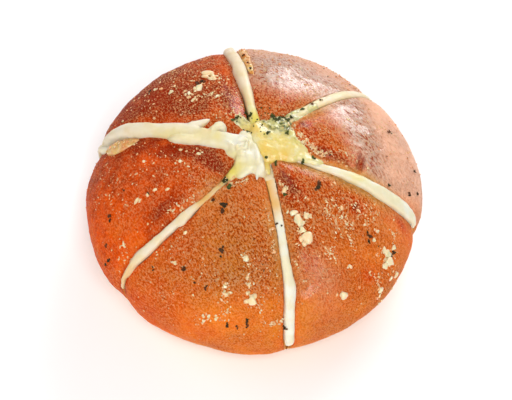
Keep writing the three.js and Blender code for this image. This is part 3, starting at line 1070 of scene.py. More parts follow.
@dataclass(frozen=True)
class CrustFinish:
    """Baked crust: brown on top and pale at the foot, buttered, with fine pale specks that are
    partly grains and partly painted glints, painted shade in the hollows of its fine relief, and a
    painted pale pink sheen on the north and east.
    """

    foot: tuple = linear(242, 178, 92)
    gold: tuple = linear(248, 150, 42)
    orange: tuple = linear(250, 126, 34)
    brown: tuple = linear(238, 84, 0)
    dark: tuple = linear(160, 38, 0)
    # painted shade in the hollows of the fine relief, and a second colour for it under the painted
    # sheen
    crease: tuple = linear(184, 46, 2)
    furrow_shade: tuple = linear(200, 84, 40)
    # pale grains, and painted glints on the tops of the fine relief
    grain_and_glint: tuple = linear(255, 180, 120)
    # painted glint on the tops of the relief under the painted sheen
    glint: tuple = linear(255, 216, 190)
    # painted pale pink sheen of the lamps and the floor, laid into the colour
    bloom: tuple = linear(252, 198, 166)
    crumb: tuple = linear(255, 204, 126)
    crumb_dark: tuple = linear(250, 166, 76)

    def material(self) -> bpy.types.Material:
        """Makes the material."""
        desk = Desk("crust")
        cloud = desk.grain(14, 4, 0.6)
        patchy = desk.grain(3.0, 4, 0.6)
        tone = desk.maths("ADD", desk.attribute("browning"), desk.spread(cloud, -0.24, 0.24))
        tone = desk.maths("ADD_CLAMP", tone, desk.spread(patchy, -0.2, 0.2))
        colours = (self.foot, self.gold, self.orange, self.brown, self.dark)
        colour = desk.ramp(tone, tuple(zip((0.0, 0.22, 0.48, 0.78, 1.0), colours)))
        rough_skin = desk.attribute("pebbly")
        # where the painted pale pink sheen lies, with painted glints on its wrinkles
        bloom = desk.attribute("bloom")
        pebble = desk.grain(0.62, 3.0, 0.7, stretch=(1.3, 0.85, 1.0), turn=-60.0)
        wrinkle = desk.grain(0.95, 3.0, 0.65, stretch=(1.8, 0.7, 1.0), turn=-50.0)
        skin = desk.blend(bloom, pebble, wrinkle)
        colour = desk.mixed(desk.maths("MULTIPLY", bloom, 0.85), colour, self.bloom)
        # painted shade: darker where the bump noise is lowest
        crease_shade = desk.between(skin, 0.47, 0.39)
        crease_shade = desk.maths("MULTIPLY_CLAMP", crease_shade, desk.spread(bloom, 0.9, 0.95))
        crease = desk.mixed(bloom, self.crease, self.furrow_shade)
        colour = desk.mixed(desk.maths("MULTIPLY", crease_shade, rough_skin), colour, crease)
        # specks: pale grains in scattered cells, and painted glints where the bump noise is highest
        thick = desk.between(desk.grain(5.0, 3, 0.6), 0.38, 0.66)
        dots = desk.maths("MULTIPLY", desk.between(desk.cells(1.25), 0.32, 0.14), thick)
        grains_and_glints = desk.between(skin, 0.49, 0.57)
        grains_and_glints = desk.maths("MULTIPLY", grains_and_glints, desk.spread(thick, 0.75, 1.0))
        grains_and_glints = desk.maths("MAXIMUM", grains_and_glints, desk.maths("MULTIPLY", dots, 0.8))
        grains_and_glints = desk.maths("MULTIPLY", grains_and_glints, desk.spread(rough_skin, 0.02, 1.0))
        colour = desk.mixed(grains_and_glints, colour, desk.mixed(bloom, self.grain_and_glint, self.glint))
        crumb = desk.mixed(desk.between(desk.grain(1.6, 4), 0.4, 0.6), self.crumb_dark, self.crumb)
        colour = desk.mixed(desk.attribute("crumb"), colour, crumb)
        relief = desk.maths("MULTIPLY", skin, desk.spread(rough_skin, 0.25, 1.2))
        relief = desk.maths("MULTIPLY", relief, desk.spread(bloom, 1.0, 2.0))
        relief = desk.maths("ADD", relief, desk.maths("MULTIPLY", desk.grain(2.6, 3, 0.6), 0.8))
        desk.bump(relief, 2.3)
        desk.give(
            desk.shader,
            Base_Color=colour,
            Roughness=desk.spread(desk.grain(1.2, 2), 0.3, 0.6),
            Specular_IOR_Level=0.02,
            Coat_Weight=desk.spread(desk.attribute("gloss"), 0.03, 0.7),
            Coat_Roughness=0.17,
        )
        return desk.material


@dataclass(frozen=True)
class CreamFinish:
    """Baked cream cheese: smooth ivory, whiter where thick, buttery where thin."""

    white: tuple = linear(224, 220, 202)
    ivory: tuple = linear(220, 211, 178)
    butter: tuple = linear(216, 164, 84)
    yellow: tuple = linear(216, 198, 92)

    def material(self) -> bpy.types.Material:
        """Makes the material."""
        desk = Desk("cream_cheese")
        cloud = desk.between(desk.grain(6.0, 3), 0.38, 0.62)
        colour = desk.mixed(cloud, self.white, self.ivory)
        colour = desk.mixed(desk.attribute("soaked"), colour, self.butter)
        colour = desk.mixed(desk.attribute("buttery"), colour, self.yellow)
        relief = desk.maths("ADD", desk.grain(1.6, 3), desk.maths("MULTIPLY", desk.grain(5.0), 1.2))
        desk.bump(relief, 0.18)
        desk.give(
            desk.shader,
            Base_Color=colour,
            Roughness=desk.spread(desk.grain(2.0, 2), 0.28, 0.5),
            Specular_IOR_Level=0.3,
            Subsurface_Weight=0.35,
            Subsurface_Radius=(1.0, 0.75, 0.4),
            Subsurface_Scale=0.003,
            Coat_Weight=0.06,
            Coat_Roughness=0.25,
        )
        return desk.material


@dataclass(frozen=True)
class ButterFinish:
    """Melted garlic butter: wet and yellow, paler and greenish where it holds garlic and herbs."""

    yellow: tuple = linear(217, 200, 122)
    deep: tuple = linear(221, 188, 92)
    cream: tuple = linear(218, 210, 162)
    green: tuple = linear(188, 182, 118)
    olive: tuple = linear(96, 100, 46)
    toasted: tuple = linear(204, 128, 52)

    def material(self) -> bpy.types.Material:
        """Makes the material."""
        desk = Desk("garlic_butter")
        cloud = desk.between(desk.grain(2.4, 4, 0.6), 0.44, 0.6)
        colour = desk.mixed(cloud, self.yellow, self.cream)
        colour = desk.mixed(desk.attribute("creamy"), colour, self.cream)
        colour = desk.mixed(desk.attribute("deep"), colour, self.deep)
        mush = desk.mixed(desk.between(desk.grain(1.5, 4, 0.6), 0.45, 0.55), self.olive, self.green)
        colour = desk.mixed(desk.attribute("herby"), colour, mush)
        colour = desk.mixed(desk.attribute("toasted"), colour, self.toasted)
        relief = desk.maths("ADD", desk.grain(0.9, 2), desk.maths("MULTIPLY", desk.grain(2.4), 1.2))
        desk.bump(relief, 0.15)
        desk.give(
            desk.shader,
            Base_Color=colour,
            Roughness=desk.spread(desk.grain(1.5, 2), 0.2, 0.4),
            Subsurface_Weight=0.4,
            Subsurface_Radius=(1.0, 0.7, 0.25),
            Subsurface_Scale=0.003,
            Coat_Weight=0.2,
            Coat_Roughness=0.15,
        )
        return desk.material


@dataclass(frozen=True)
class GarlicFinish:
    """Minced garlic: pale and waxy, browned on some pieces."""

    pale: tuple = linear(230, 213, 172)
    gold: tuple = linear(238, 186, 132)
    brown: tuple = linear(224, 136, 78)

    def material(self) -> bpy.types.Material:
        """Makes the material."""
        desk = Desk("garlic")
        uneven = desk.spread(desk.grain(1.0), -0.3, 0.3)
        toast = desk.maths("ADD_CLAMP", desk.attribute("toast"), uneven)
        desk.bump(desk.grain(0.5, 2), 0.12)
        desk.give(
            desk.shader,
            Base_Color=desk.ramp(toast, ((0.0, self.pale), (0.55, self.gold), (1.0, self.brown))),
            Roughness=desk.spread(desk.grain(0.8), 0.22, 0.5),
            Subsurface_Weight=0.3,
            Subsurface_Scale=0.002,
            Coat_Weight=0.3,
            Coat_Roughness=0.15,
        )
        return desk.material


@dataclass(frozen=True)
class HerbFinish:
    """Chopped parsley, darkened in the oven."""

    green: tuple = linear(72, 84, 34)
    dark: tuple = linear(46, 38, 20)
    brown: tuple = linear(106, 54, 26)

    def material(self) -> bpy.types.Material:
        """Makes the material, with little shine."""
        desk = Desk("herb")
        uneven = desk.spread(desk.grain(0.8), -0.35, 0.35)
        toast = desk.maths("ADD_CLAMP", desk.attribute("toast"), uneven)
        desk.bump(desk.grain(0.4, 2), 0.1)
        desk.give(
            desk.shader,
            Base_Color=desk.ramp(toast, ((0.0, self.green), (0.5, self.dark), (1.0, self.brown))),
            Roughness=desk.spread(desk.grain(0.6), 0.45, 0.7),
            Specular_IOR_Level=0.12,
        )
        return desk.material


@dataclass(frozen=True)
class FloorFinish:
    """A plain white table."""

    white: tuple = linear(250, 250, 250)
    grey: tuple = linear(246, 246, 246)

    def material(self) -> bpy.types.Material:
        """Makes the material."""
        desk = Desk("floor")
        colour = desk.mixed(desk.grain(60.0), self.white, self.grey)
        desk.give(desk.shader, Base_Color=colour, Roughness=0.7)
        return desk.material


# The pieces


def dressed(
    made: bpy.types.Object, finish: bpy.types.Material, node: str
) -> bpy.types.Object:
    """Gives a piece its finish and says what it stands for.

    Args:
        made: the piece.
        finish: its material.
        node: the solid that it stands for.

    Returns:
        The piece.
    """
    made.data.materials.clear()
    made.data.materials.append(finish)
    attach(made, "root")
    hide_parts(node)
    LOG.info("%s: %d faces, on %s", made.name, len(made.data.polygons), node)
    return made


@dataclass
class Loaf:
    """The bread as one closed skin: crust, cut faces and foot."""

    bread: Bread
    columns: int = 92
    dome_rows: int = 100
    side_rows: int = 18
    skirt_rows: int = 12
    foot_rows: int = 8
    face_columns: int = 9

    def _steps(self, tip: float) -> Array:
        """Profile steps of the rows of a wedge.

        Args:
            tip: the step where the wedge starts.

        Returns:
            Steps from there to the middle of the foot.
        """
        ends = (tip, 1, CUT_END, 2, 3)
        counts = (self.dome_rows, self.side_rows, self.skirt_rows, self.foot_rows)
        parts = [np.linspace(a, b, n + 1)[1:] for a, b, n in zip(ends, ends[1:], counts)]
        return np.concatenate([[tip], *parts])

    @staticmethod
    def _browning(points: Array, step: Array, to_cut: Array) -> Array:
        """How brown the crust is.

        Args:
            points: places on the crust.
            step: their profile steps.
            to_cut: their distances to the nearest cut.

        Returns:
            From 0 to 1: most on top, in the darker sectors and in the dark spots, which hold
                painted shade, in a thin line of painted shade along each cut, less where it is
                buttered, and least low on the side.
        """
        top = 0.66 - 0.17 * smoothstep(20, 52, polar(points)[0])
        light = Spot(-7, -32, 0.22, 14, 10, -80).at(points) + 0.6 * Loaf._buttered(points, to_cut)
        low = smoothstep(15, 2, points[..., 2])
        under = smoothstep(1.95, 2.15, step)
        # painted shade: darker in a thin line along each cut beside the cream, a little lighter 2.5
        # mm away
        edge = 0.14 * bell(to_cut, 0.8) - 0.05 * bell(to_cut - 2.5, 1.5)
        tone = top + amount(DARKER_SECTORS, points) + edge + darkened(points) - light
        return np.clip(tone * (1 - 0.85 * low) * (1 - under) + 0.42 * under, 0, 1)

    @staticmethod
    def _painted_sheen(points: Array) -> Array:
        """How much pale pink sheen is painted on the skin, from 0 to 1.

        Args:
            points: places on the crust.

        Returns:
            Most on the north and east, as a painted reflection of the lamps and the floor, with a
            painted glare spot to the south, in patches, fading in the dark spots and to the foot.
        """
        # painted glare: a lilac patch to the south and a pale band along the east rim
        south = Spot(20, -42, 0.3, 4, 4).at(points)
        east = Spot(44, 2, 0.6, 12, 5, 90).at(points)
        patchy = 1.1 + 0.2 * fractal(points, 8.0, 2, 57)
        pale = np.clip(np.maximum(Loaf._north_east(points), south) * patchy + east, 0, 1)
        return pale * (1 - darkened(points)) * smoothstep(3, 20, points[..., 2])

    @staticmethod
    def _north_east(points: Array) -> Array:
        """The outer part of the wedges to the north and east.

        Args:
            points: places on the crust.

        Returns:
            1 on it and 0 elsewhere, with soft borders. The inner border lies 22 mm off the axis,
            further out to the east and further in to the north.
        """
        r, azimuth = polar(points)
        start = 22 + Sector(-8, 14, 5).at(points) - Sector(76, 16, 5).at(points)
        past = turn_between(azimuth, 42)
        window = smoothstep(-62, -46, past) * smoothstep(64, 44, past)
        return window * smoothstep(start, start + 11, r)

    @staticmethod
    def _gloss(points: Array) -> Array:
        """How shiny the skin is.

        Args:
            points: places on the crust.

        Returns:
            From 0 to 1: most under the painted pink sheen, less at the rim, of the ring round the
                butter, and of a spot to the south.
        """
        r = polar(points)[0]
        dulled = Loaf._north_east(points) * (1 - 0.8 * smoothstep(37, 44, r))
        south = Spot(18, -42, 0.45, 5, 5).at(points)
        return np.maximum.reduce([dulled, 0.45 * smoothstep(30, 14, r), south])

    @staticmethod
    def _buttered(points: Array, to_cut: Array) -> Array:
        """Where butter has soaked the crust to gold: close beside some of the cuts."""
        return np.clip(amount(BUTTERED, points), 0, 1) * bell(to_cut, 1.6)

    @staticmethod
    def _pebbly(points: Array) -> Array:
        """How pebbly the skin is.

        Args:
            points: places on the crust.

        Returns:
            From 0 to 1, in patches: least in the calm areas, in the dark spots and at the foot.
        """
        calm = np.maximum.reduce([area.at(points) for area in CALM])
        patchy = 0.28 * fractal(points, 11.0, 2, 55)
        pebbly = (0.95 - 0.75 * calm + patchy) * smoothstep(4, 16, points[..., 2])
        return np.clip(pebbly * (1 - 0.7 * darkened(points)), 0, 1)

    def _wedge(self, index: int) -> list[Patch]:
        """Builds a wedge.

        Args:
            index: number of the arm before it.

        Returns:
            Its crust, a grid of profile steps by shares across the wedge that crowd towards the
            cuts, and its two cut faces.
        """
        star, roll = self.bread.star, self.bread.roll
        following = (index + 1) % len(star.arms)
        steps = self._steps(star.tip(index))
        u = np.linspace(0, 1, self.columns + 1)
        across = 0.45 * u + 0.55 * (0.5 - 0.5 * np.cos(np.pi * u))
        start = star.bank(index, steps, 1)
        span = np.maximum(turn_between(star.bank(following, steps, 2), start), 0)
        azimuth = start[:, None] + span[:, None] * across
        grid = np.broadcast_to(steps[:, None], azimuth.shape)
        points = self.bread.point(grid, azimuth)
        to_cut = self.bread.wedge(grid, azimuth)[1]
        on_cut = smoothstep(0.25, 0.0, to_cut) * (1 - smoothstep(CUT_END - 0.1, CUT_END, grid))
        top = Patch.of_grid(
            points,
            browning=self._browning(points, grid, to_cut),
            pebbly=self._pebbly(points),
            bloom=self._painted_sheen(points),
            gloss=self._gloss(points),
            crumb=np.maximum(0.5 * on_cut, 0.7 * self._buttered(points, to_cut)),
        )
        rows = self.dome_rows + self.side_rows + 1
        return [
            top,
            self._face(points[:rows, 0], index, index),
            self._face(points[:rows, -1], following, index),
        ]

    def _face(self, bank: Array, cut: int, wedge: int) -> Patch:
        """Builds a cut face.

        Args:
            bank: the edge of the crust.
            cut: number of the cut's arm.
            wedge: number of the wedge, which picks its noise.

        Returns:
            A surface ruled between the edge and the floor of the cut, and bowed by noise.
        """
        share = np.linspace(0, 1, len(bank))
        floor = self.bread.star.floor(cut, share)
        down = np.linspace(0, 1, self.face_columns + 1) ** 1.2
        end = self.bread.point(CUT_END, self.bread.star.bank(cut, CUT_END, 0))
        ending = smoothstep(0.84, 1.0, share)[:, None]
        floor = floor * (1 - ending) + end * ending
        points = bank[:, None] * (1 - down[:, None]) + floor[:, None] * down[:, None]
        fade = np.maximum(np.sin(np.pi * share[:, None]), 0) ** 0.5 * np.sin(np.pi * down)
        bow = 0.35 * fade * fractal(points + 50.0 * wedge, 4.0, 3, 21)
        points = points + bow[..., None] * sideways(self.bread.star.arms[cut].azimuth)
        crumb = 0.5 + 0.5 * smoothstep(0.0, 0.05, down)
        tone = 0.6 - 0.35 * smoothstep(0.0, 0.15, down)
        return Patch.of_grid(points, browning=tone, pebbly=0, bloom=0, gloss=0, crumb=crumb)

    def build(self) -> bpy.types.Object:
        """Makes the bread."""
        count = len(self.bread.star.arms)
        patch = Patch.joined([part for k in range(count) for part in self._wedge(k)])
        made = make_piece("bread", patch)
        return dressed(made, CrustFinish().material(), "bun")


@dataclass(frozen=True)
class Heap:
    """A soft heap on the crust: its middle in the plan, its height and its outline.

    The outline holds pairs of an azimuth about the middle and the distance of the edge there.
    """

    middle: tuple[float, float]
    rise: float
    outline: tuple[tuple[float, float], ...]

    def edge(self, turn: Array) -> Array:
        """Where the heap ends.

        Args:
            turn: azimuths about its middle.

        Returns:
            Distances of the edge, eased between the pairs of the outline.
        """
        at = np.array(self.outline).T
        places = np.concatenate([at[0] - 360, at[0], at[0] + 360])
        reach = np.tile(at[1], 3)
        after = np.clip(np.searchsorted(places, turn, side="right"), 1, len(places) - 1)
        share = (turn - places[after - 1]) / (places[after] - places[after - 1])
        share = share * share * (3 - 2 * share)
        return reach[after - 1] + (reach[after] - reach[after - 1]) * share

    def grid(self, roll: RollForm, height: Array) -> Array:
        """Points over the heap.

        Args:
            roll: the form that the heap lies on.
            height: millimetres over the form, on a fan of the heap.

        Returns:
            Places at each share of the distance to the edge, lifted by height.
        """
        turn, share = self.fan(height.shape[1], height.shape[0])
        far = (self.edge(turn) * share)[..., None]
        way = np.stack([np.cos(np.radians(turn)), np.sin(np.radians(turn))], -1)
        step, azimuth = roll.under(self.middle + far * way)
        return roll.point(step, azimuth, roll.unevenness(step, azimuth) + height)

    def body(self, roll: RollForm, height: Array, sunk: float) -> Patch:
        """The heap's closed skin: its top, and a bed that lies sunk under the form."""
        top, bed = self.grid(roll, height), self.grid(roll, np.full_like(height, -sunk))
        return Patch.of_grid(np.concatenate([top, bed[::-1]]), closed=True)

    @staticmethod
    def fan(turns: int, rings: int) -> tuple[Array, Array]:
        """Azimuth and share of the way out on a grid of rings by turns."""
        turn = np.linspace(0, 360, turns, endpoint=False)
        return np.broadcast_arrays(turn[None], np.linspace(0, 1, rings)[:, None])


@dataclass(frozen=True)
class Stroke:
    """A soft strand on the crust.

    A station of it holds a place in the plan, x and y, the strand's width there and its height.
    """

    stations: tuple[tuple[float, float, float, float], ...]
    sunk: float = 1.2
    easing: float = 0.08

    def patch(self, bread: Bread, rows: int = 40, around: int = 20) -> Patch:
        """The strand's skin.

        Its section is half an ellipse over the crust and a shallow half ellipse under it, both
        changed by noise. The ends are rounded off by the square root of a sine wave.

        Args:
            bread: what it lies on.
            rows: sections along it.
            around: points round a section.

        Returns:
            The closed skin.
        """
        at = np.array(self.stations).T
        knots = np.linspace(0, 1, len(self.stations))
        t = np.linspace(0, 1, rows)
        x, y, width, height = (self._eased(t, knots, values) for values in at)
        step, azimuth = bread.roll.under(np.stack([x, y], -1))
        ends = np.sqrt(np.clip(np.sin(np.pi * t) * 3.0, 0.0, 1.0))
        width, height = width * ends, height * ends
        centres = bread.roll.point(step, azimuth, bread.relief(step, azimuth, fine=False))
        lifts = bread.roll.outward(step, azimuth)
        along = unit(np.gradient(centres, axis=0))
        sides = unit(np.cross(lifts, along))
        turn = np.linspace(0, 2 * np.pi, around, endpoint=False)
        bend, over = np.cos(turn), np.sin(turn)
        across = width[:, None] / 2 * bend * (1 + 0.12 * self._ripple(t, turn))
        up = np.where(over > 0, height[:, None] * np.abs(over) ** 0.8, -self.sunk * np.abs(over))
        return swept(centres, sides, lifts, across, up * (1 + 0.15 * self._ripple(t + 3, turn)))

    def _ripple(self, t: Array, turn: Array) -> Array:
        """Uneven swelling along the strand, from noise wound round it."""
        wound = np.broadcast_arrays(t[:, None] * 9, np.cos(turn) * 0.8, np.sin(turn) * 0.8)
        return noise(np.stack(wound, -1), 1.0, int(abs(self.stations[0][0]) * 7))

    def _eased(self, t: Array, knots: Array, values: Array) -> Array:
        """Smooth curve: straight lines between the knots' values, averaged over a short stretch."""
        shifts = np.linspace(-self.easing, self.easing, 5)
        return sum(np.interp(t + s, knots, values) for s in shifts) / len(shifts)


CREAM_HEAP = Heap(
    (-3.8, -2.8),
    2.3,
    ((10, 6.4), (35, 5.6), (75, 7.4), (91, 7.6), (107, 6), (131, 5.4), (155, 6.4), (182, 5.8),
     (228, 4), (262, 9.6), (286, 8.8), (304, 11), (331, 8)),
)
BUTTER_POOL = Heap(
    (6.5, 1.2),
    2,
    ((10, 5), (38, 5.8), (62, 9.6), (84, 9.6), (106, 8.2), (135, 9.4), (170, 8),
     (209, 7), (250, 8.4), (280, 7.6), (313, 10), (331, 13.4)),
)


@dataclass
class Cream:
    """The cream cheese: a strand on each cut, a heap in the middle, and its sunk fins."""

    bread: Bread
    voxel: float = 0.36
    softening: int = 4
    sunk: float = 3.2
    fin_top: float = 2.6
    fin_foot: float = 4.0
    fin_end: float = 0.93

    def _rope(self, index: int) -> Patch:
        """Strand of cream along an arm.

        Args:
            index: the arm's number.

        Returns:
            A swept body. Its section is a flat-topped half ellipse from bank to bank, with a root
            in the cut.
        """
        star, roll = self.bread.star, self.bread.roll
        arm = star.arms[index]
        steps = np.linspace(float(roll.step_at(2.5)), arm.stop, 150)
        distance = star.distance(index, steps)
        azimuth = star.bank(index, steps, 0)
        ccw, cw, rise = arm.cream(distance)
        past = np.clip((steps - arm.stop) / arm.taper + 1, 0, 1)
        ending = np.sqrt(np.maximum(1 - past**2, 0.0))
        base = roll.unevenness(steps, azimuth) - self.bread.edge_drop - 0.1
        centres = roll.point(steps, azimuth, base)
        lifts = roll.outward(steps, azimuth)
        turn = np.linspace(0, 2 * np.pi, 44, endpoint=False)
        bend, over = np.cos(turn), np.sin(turn)
        narrow = 0.35 + 0.65 * ending
        reach = np.where(bend > 0, (ccw * narrow)[:, None], (cw * narrow)[:, None])
        proud = arm.fill is Fill.PROUD
        root = 1.3 if proud else 0.95 * np.minimum(np.minimum(ccw, cw), 2.2)[:, None]
        top = np.sign(bend) * np.abs(bend) ** 0.85 * reach
        low = bend * (root + (reach - root) * np.abs(bend) ** 8)
        across = np.where(over >= 0, top, low)
        height = ((rise + self.bread.edge_drop + 0.1) * ending)[:, None]
        above = height * np.abs(over) ** (0.62 if proud else 0.5)
        up = np.where(over >= 0, above, -self.sunk * np.abs(over) ** 0.8)
        skin = swept(centres, sideways(azimuth), lifts, across, up)
        lumps = 0.2 * fractal(skin.points, 3.5, 2, 40 + index)
        fade = smoothstep(2.0, 6.0, polar(skin.points)[0])
        outwards = np.repeat(np.concatenate([lifts[:1], lifts, lifts[-1:]]), len(turn), 0)
        skin.points = skin.points + (lumps * fade)[:, None] * outwards
        return skin

    def _heap(self) -> Patch:
        """The heap: a dome that thins to its edge, with a swirl and a ridge, on a bed."""
        turn, share = Heap.fan(150, 44)
        dome = CREAM_HEAP.rise * np.maximum(1 - share**2.2, 0) ** 0.7
        swirl = 0.35 * np.sin(np.radians(turn) * 2 - share * 9) * share * (1 - share) * 4
        flat = np.stack([share * np.cos(np.radians(turn)), share * np.sin(np.radians(turn))], -1)
        spot = np.concatenate([flat * 9, np.zeros((*flat.shape[:2], 1))], -1)
        lumps = 0.45 * fractal(spot, 3.2, 3, 61)
        melted = 0.55 * bell(turn_between(turn, 22), 42) * smoothstep(0.25, 1.0, share)
        height = dome * (1 - melted) + (swirl + lumps) * (1 - share**6)
        return CREAM_HEAP.body(self.bread.roll, height, 3.0)

    def _strands(self) -> list[Patch]:
        """The folds, lobes and tails of the cream that stand out of its strands and heap."""
        west_ridge = Stroke(
            ((-50.4, 10.4, 2.6, 1.6), (-48.6, 11.2, 4, 2.8), (-44, 10.6, 4.8, 3.5),
             (-39.8, 9.6, 4.8, 3.7), (-34.7, 8.2, 4.6, 3.6), (-28.7, 7, 4.4, 3.3),
             (-23.9, 6.8, 4.2, 2.8), (-19.1, 7.5, 3.6, 2.2), (-15.9, 8.3, 2.2, 1.4),
             (-13.4, 9.8, 0.9, 0.5))
        )
        west_lobe = Stroke(
            ((-28.6, 3.9, 2.4, 1.8), (-23.7, 2.1, 3.2, 2.6), (-18.9, 1.2, 3.8, 3),
             (-15.9, 2.4, 3.8, 3.2), (-13.1, 4.2, 3.4, 3.6), (-11.2, 6, 2.8, 4),
             (-10, 5.8, 2.6, 3.6), (-9.4, 3.6, 2.4, 2.4))
        )
        lip = Stroke(
            ((-50.4, 10.4, 2.6, 2.6), (-49.6, 8.4, 2.8, 2.2), (-48, 7.2, 2.2, 1.6),
             (-46.4, 6.8, 1.4, 1))
        )
        tip = Stroke(((-49.6, 11.6, 2.8, 2.2), (-51.6, 12.4, 2.4, 1.8), (-53, 12, 1.4, 1)))
        crest = Stroke(
            ((-0.6, 0.4, 1.8, 2.2), (-0.1, -1.9, 2.6, 3.3), (0.6, -4.6, 2.8, 3.7),
             (1.4, -7.4, 3.2, 3.6), (2, -10.2, 3.2, 2.8), (2.6, -12.6, 1.6, 1))
        )
        swirl = Stroke(
            ((-11.6, 1.6, 1.6, 2.6), (-8.4, -1, 1.6, 3.6), (-5.8, -3.2, 1.5, 4.2),
             (-3.2, -3.4, 1.4, 4.5), (-2, -1.4, 1.4, 4.6), (-3.4, 0.6, 1.4, 4.5),
             (-5.4, 0.3, 1.3, 4.2), (-5.6, -1.2, 1, 3.8)),
            easing=0.03,
        )
        fingers = (
            Stroke(((-1.9, -9.2, 1.4, 2), (-2.8, -10.8, 1, 1.1), (-2.8, -12.4, 0.6, 0.4))),
            Stroke(((0.9, -10.2, 1.4, 2), (0.6, -11.9, 1, 1.1), (0.6, -13.6, 0.6, 0.4))),
        )
        beard = Stroke(
            ((-5.6, -12.6, 1.4, 0.7), (-4, -11.8, 2, 1.1), (-2.4, -10.6, 2.2, 1.5),
             (-0.4, -10, 2.2, 1.9))
        )
        corner = Stroke(
            ((-4.2, -6.4, 3.4, 2.3), (-5.6, -8.8, 3.2, 2.1), (-7.4, -11.2, 3.2, 1.8),
             (-7.4, -13.2, 1.8, 0.9))
        )
        tongue = Stroke(
            ((-1.9, 17, 2.8, 1.9), (-0.8, 13, 2.8, 1.8), (0.3, 9.6, 2.4, 1.4),
             (1.8, 6.8, 1.8, 1.2), (3, 5, 1, 1))
        )
        tail = Stroke(
            ((-37, -33.6, 2.2, 1.2), (-38.6, -35.4, 1.6, 1), (-40.4, -36.2, 1.1, 0.8),
             (-42.4, -35.6, 0.8, 0.5)),
            sunk=0.8,
        )
        ragged = Stroke(
            ((-35.4, -31.2, 1.3, 0.9), (-36.6, -31.8, 1.8, 1.3), (-38.2, -32.6, 1.6, 1.1),
             (-39.6, -33.6, 0.9, 0.6)),
            sunk=0.8,
        )
        burr = Stroke(((-20.8, -24.4, 0.9, 0.6), (-22.2, -25.8, 1.6, 1), (-23.6, -26.8, 0.8, 0.5)))
        lump = Stroke(((31, -9, 1.4, 0.8), (32.4, -9.4, 2.6, 1.5), (33.8, -10.4, 2.2, 1.2)))
        strokes = (west_ridge, west_lobe, lip, tip, crest, swirl, *fingers, beard, corner, tongue,
                   tail, ragged, burr, lump)
        return [stroke.patch(self.bread) for stroke in strokes]

    def _fin(self, index: int) -> Patch:
        """The cream inside a cut.

        Args:
            index: number of the cut's arm.

        Returns:
            A closed fin, ruled from under the strand to near the cut's floor, which thins
            downwards and keeps off the cut faces.
        """
        star, roll = self.bread.star, self.bread.roll
        arm = star.arms[index]
        steps = np.linspace(float(roll.step_at(3.0)), arm.stop - 0.03, 50)
        azimuth, distance = star.bank(index, steps, 0), star.distance(index, steps)
        share = np.clip(distance / star.distance(index, CUT_END), 0, self.fin_end)
        top = roll.point(steps, azimuth, -self.fin_top)
        foot = star.floor(index, share) + [0, 0, self.fin_foot]
        down = np.linspace(0, 1, 12)[:, None]
        middle = top[:, None] * (1 - down) + foot[:, None] * down
        ccw, cw, _ = arm.cream(distance)
        half = np.minimum(np.minimum(ccw, cw), 1.6)[:, None, None] * (1 - 0.82 * down) * 0.85
        out = half * sideways(azimuth)[:, None]
        return capped(np.concatenate([middle + out, (middle - out)[:, ::-1]], 1))

    def build(self) -> list[bpy.types.Object]:
        """Makes the cream on top and the cream inside the cuts."""
        finish = CreamFinish().material()
        count = len(self.bread.star.arms)
        bodies = [*(self._rope(k) for k in range(count)), self._heap(), *self._strands()]
        top = fused("cream_top", Patch.joined(bodies), self.voxel, self.softening)
        points = points_of(top.data)
        relief = 0.10 * fractal(points, 1.8, 2, 71) + 0.12 * noise(points, 4.0, 72)
        relief = relief + self._curl(points)
        set_points(top.data, points + relief[:, None] * vectors_of(top.data, "normal"))
        self._soak(top.data)
        inside = make_piece("cream_inside", Patch.joined([self._fin(k) for k in range(count)]))
        self._soak(inside.data)
        return [
            dressed(top, finish, "cream_cheese"),
            dressed(inside, finish, "cream_cheese"),
        ]

    @staticmethod
    def _curl(points: Array) -> Array:
        """Height of the curl in the heap.

        Args:
            points: places on the cream.

        Returns:
            A ridge with a groove outside it along a spiral of one turn, round a hollow, fading
            outwards.
        """
        r, azimuth = polar(points - [-3.8, -3.3, 0.0])
        turned = (azimuth + 60.0) % 360.0 / 360.0
        start = smoothstep(0.0, 0.2, turned)
        ridge = 0.4 * bell(r - 1.1 - 1.0 * turned, 0.42) - 0.35 * bell(r - 1.9 - 1.1 * turned, 0.45)
        return (ridge * start - 0.35 * bell(r, 0.8)) * smoothstep(4.2, 2.6, r)

    def _soak(self, mesh: bpy.types.Mesh) -> None:
        """Marks where butter has soaked the cream.

        Args:
            mesh: the cream, which gets the values soaked, most at thin edges and near the middle,
                and buttery, in pools.
        """
        points, roll = points_of(mesh), self.bread.roll
        r = polar(points)[0]
        step, azimuth = roll.under(points)
        surface = roll.point(step, azimuth, roll.unevenness(step, azimuth))
        low = smoothstep(0.6, -0.8, points[:, 2] - surface[:, 2]) * (r < 53)
        patchy = smoothstep(-0.3, 0.5, noise(points, 5.0, 81))
        south_west = Sector(223, 9, 1, 11, 15).at(points) * (0.22 + 0.7 * smoothstep(34, 19, r))
        west = (0.14 + 0.12 * patchy) * Sector(165, 14, 1, inner=14).at(points)
        soaked = 0.35 * low * patchy + south_west + west + amount(SOAKED_CREAM, points)
        buttery = amount(BUTTERY_CREAM, points)
        mark(mesh, {"soaked": np.clip(soaked, 0, 1), "buttery": np.clip(buttery, 0, 1)})


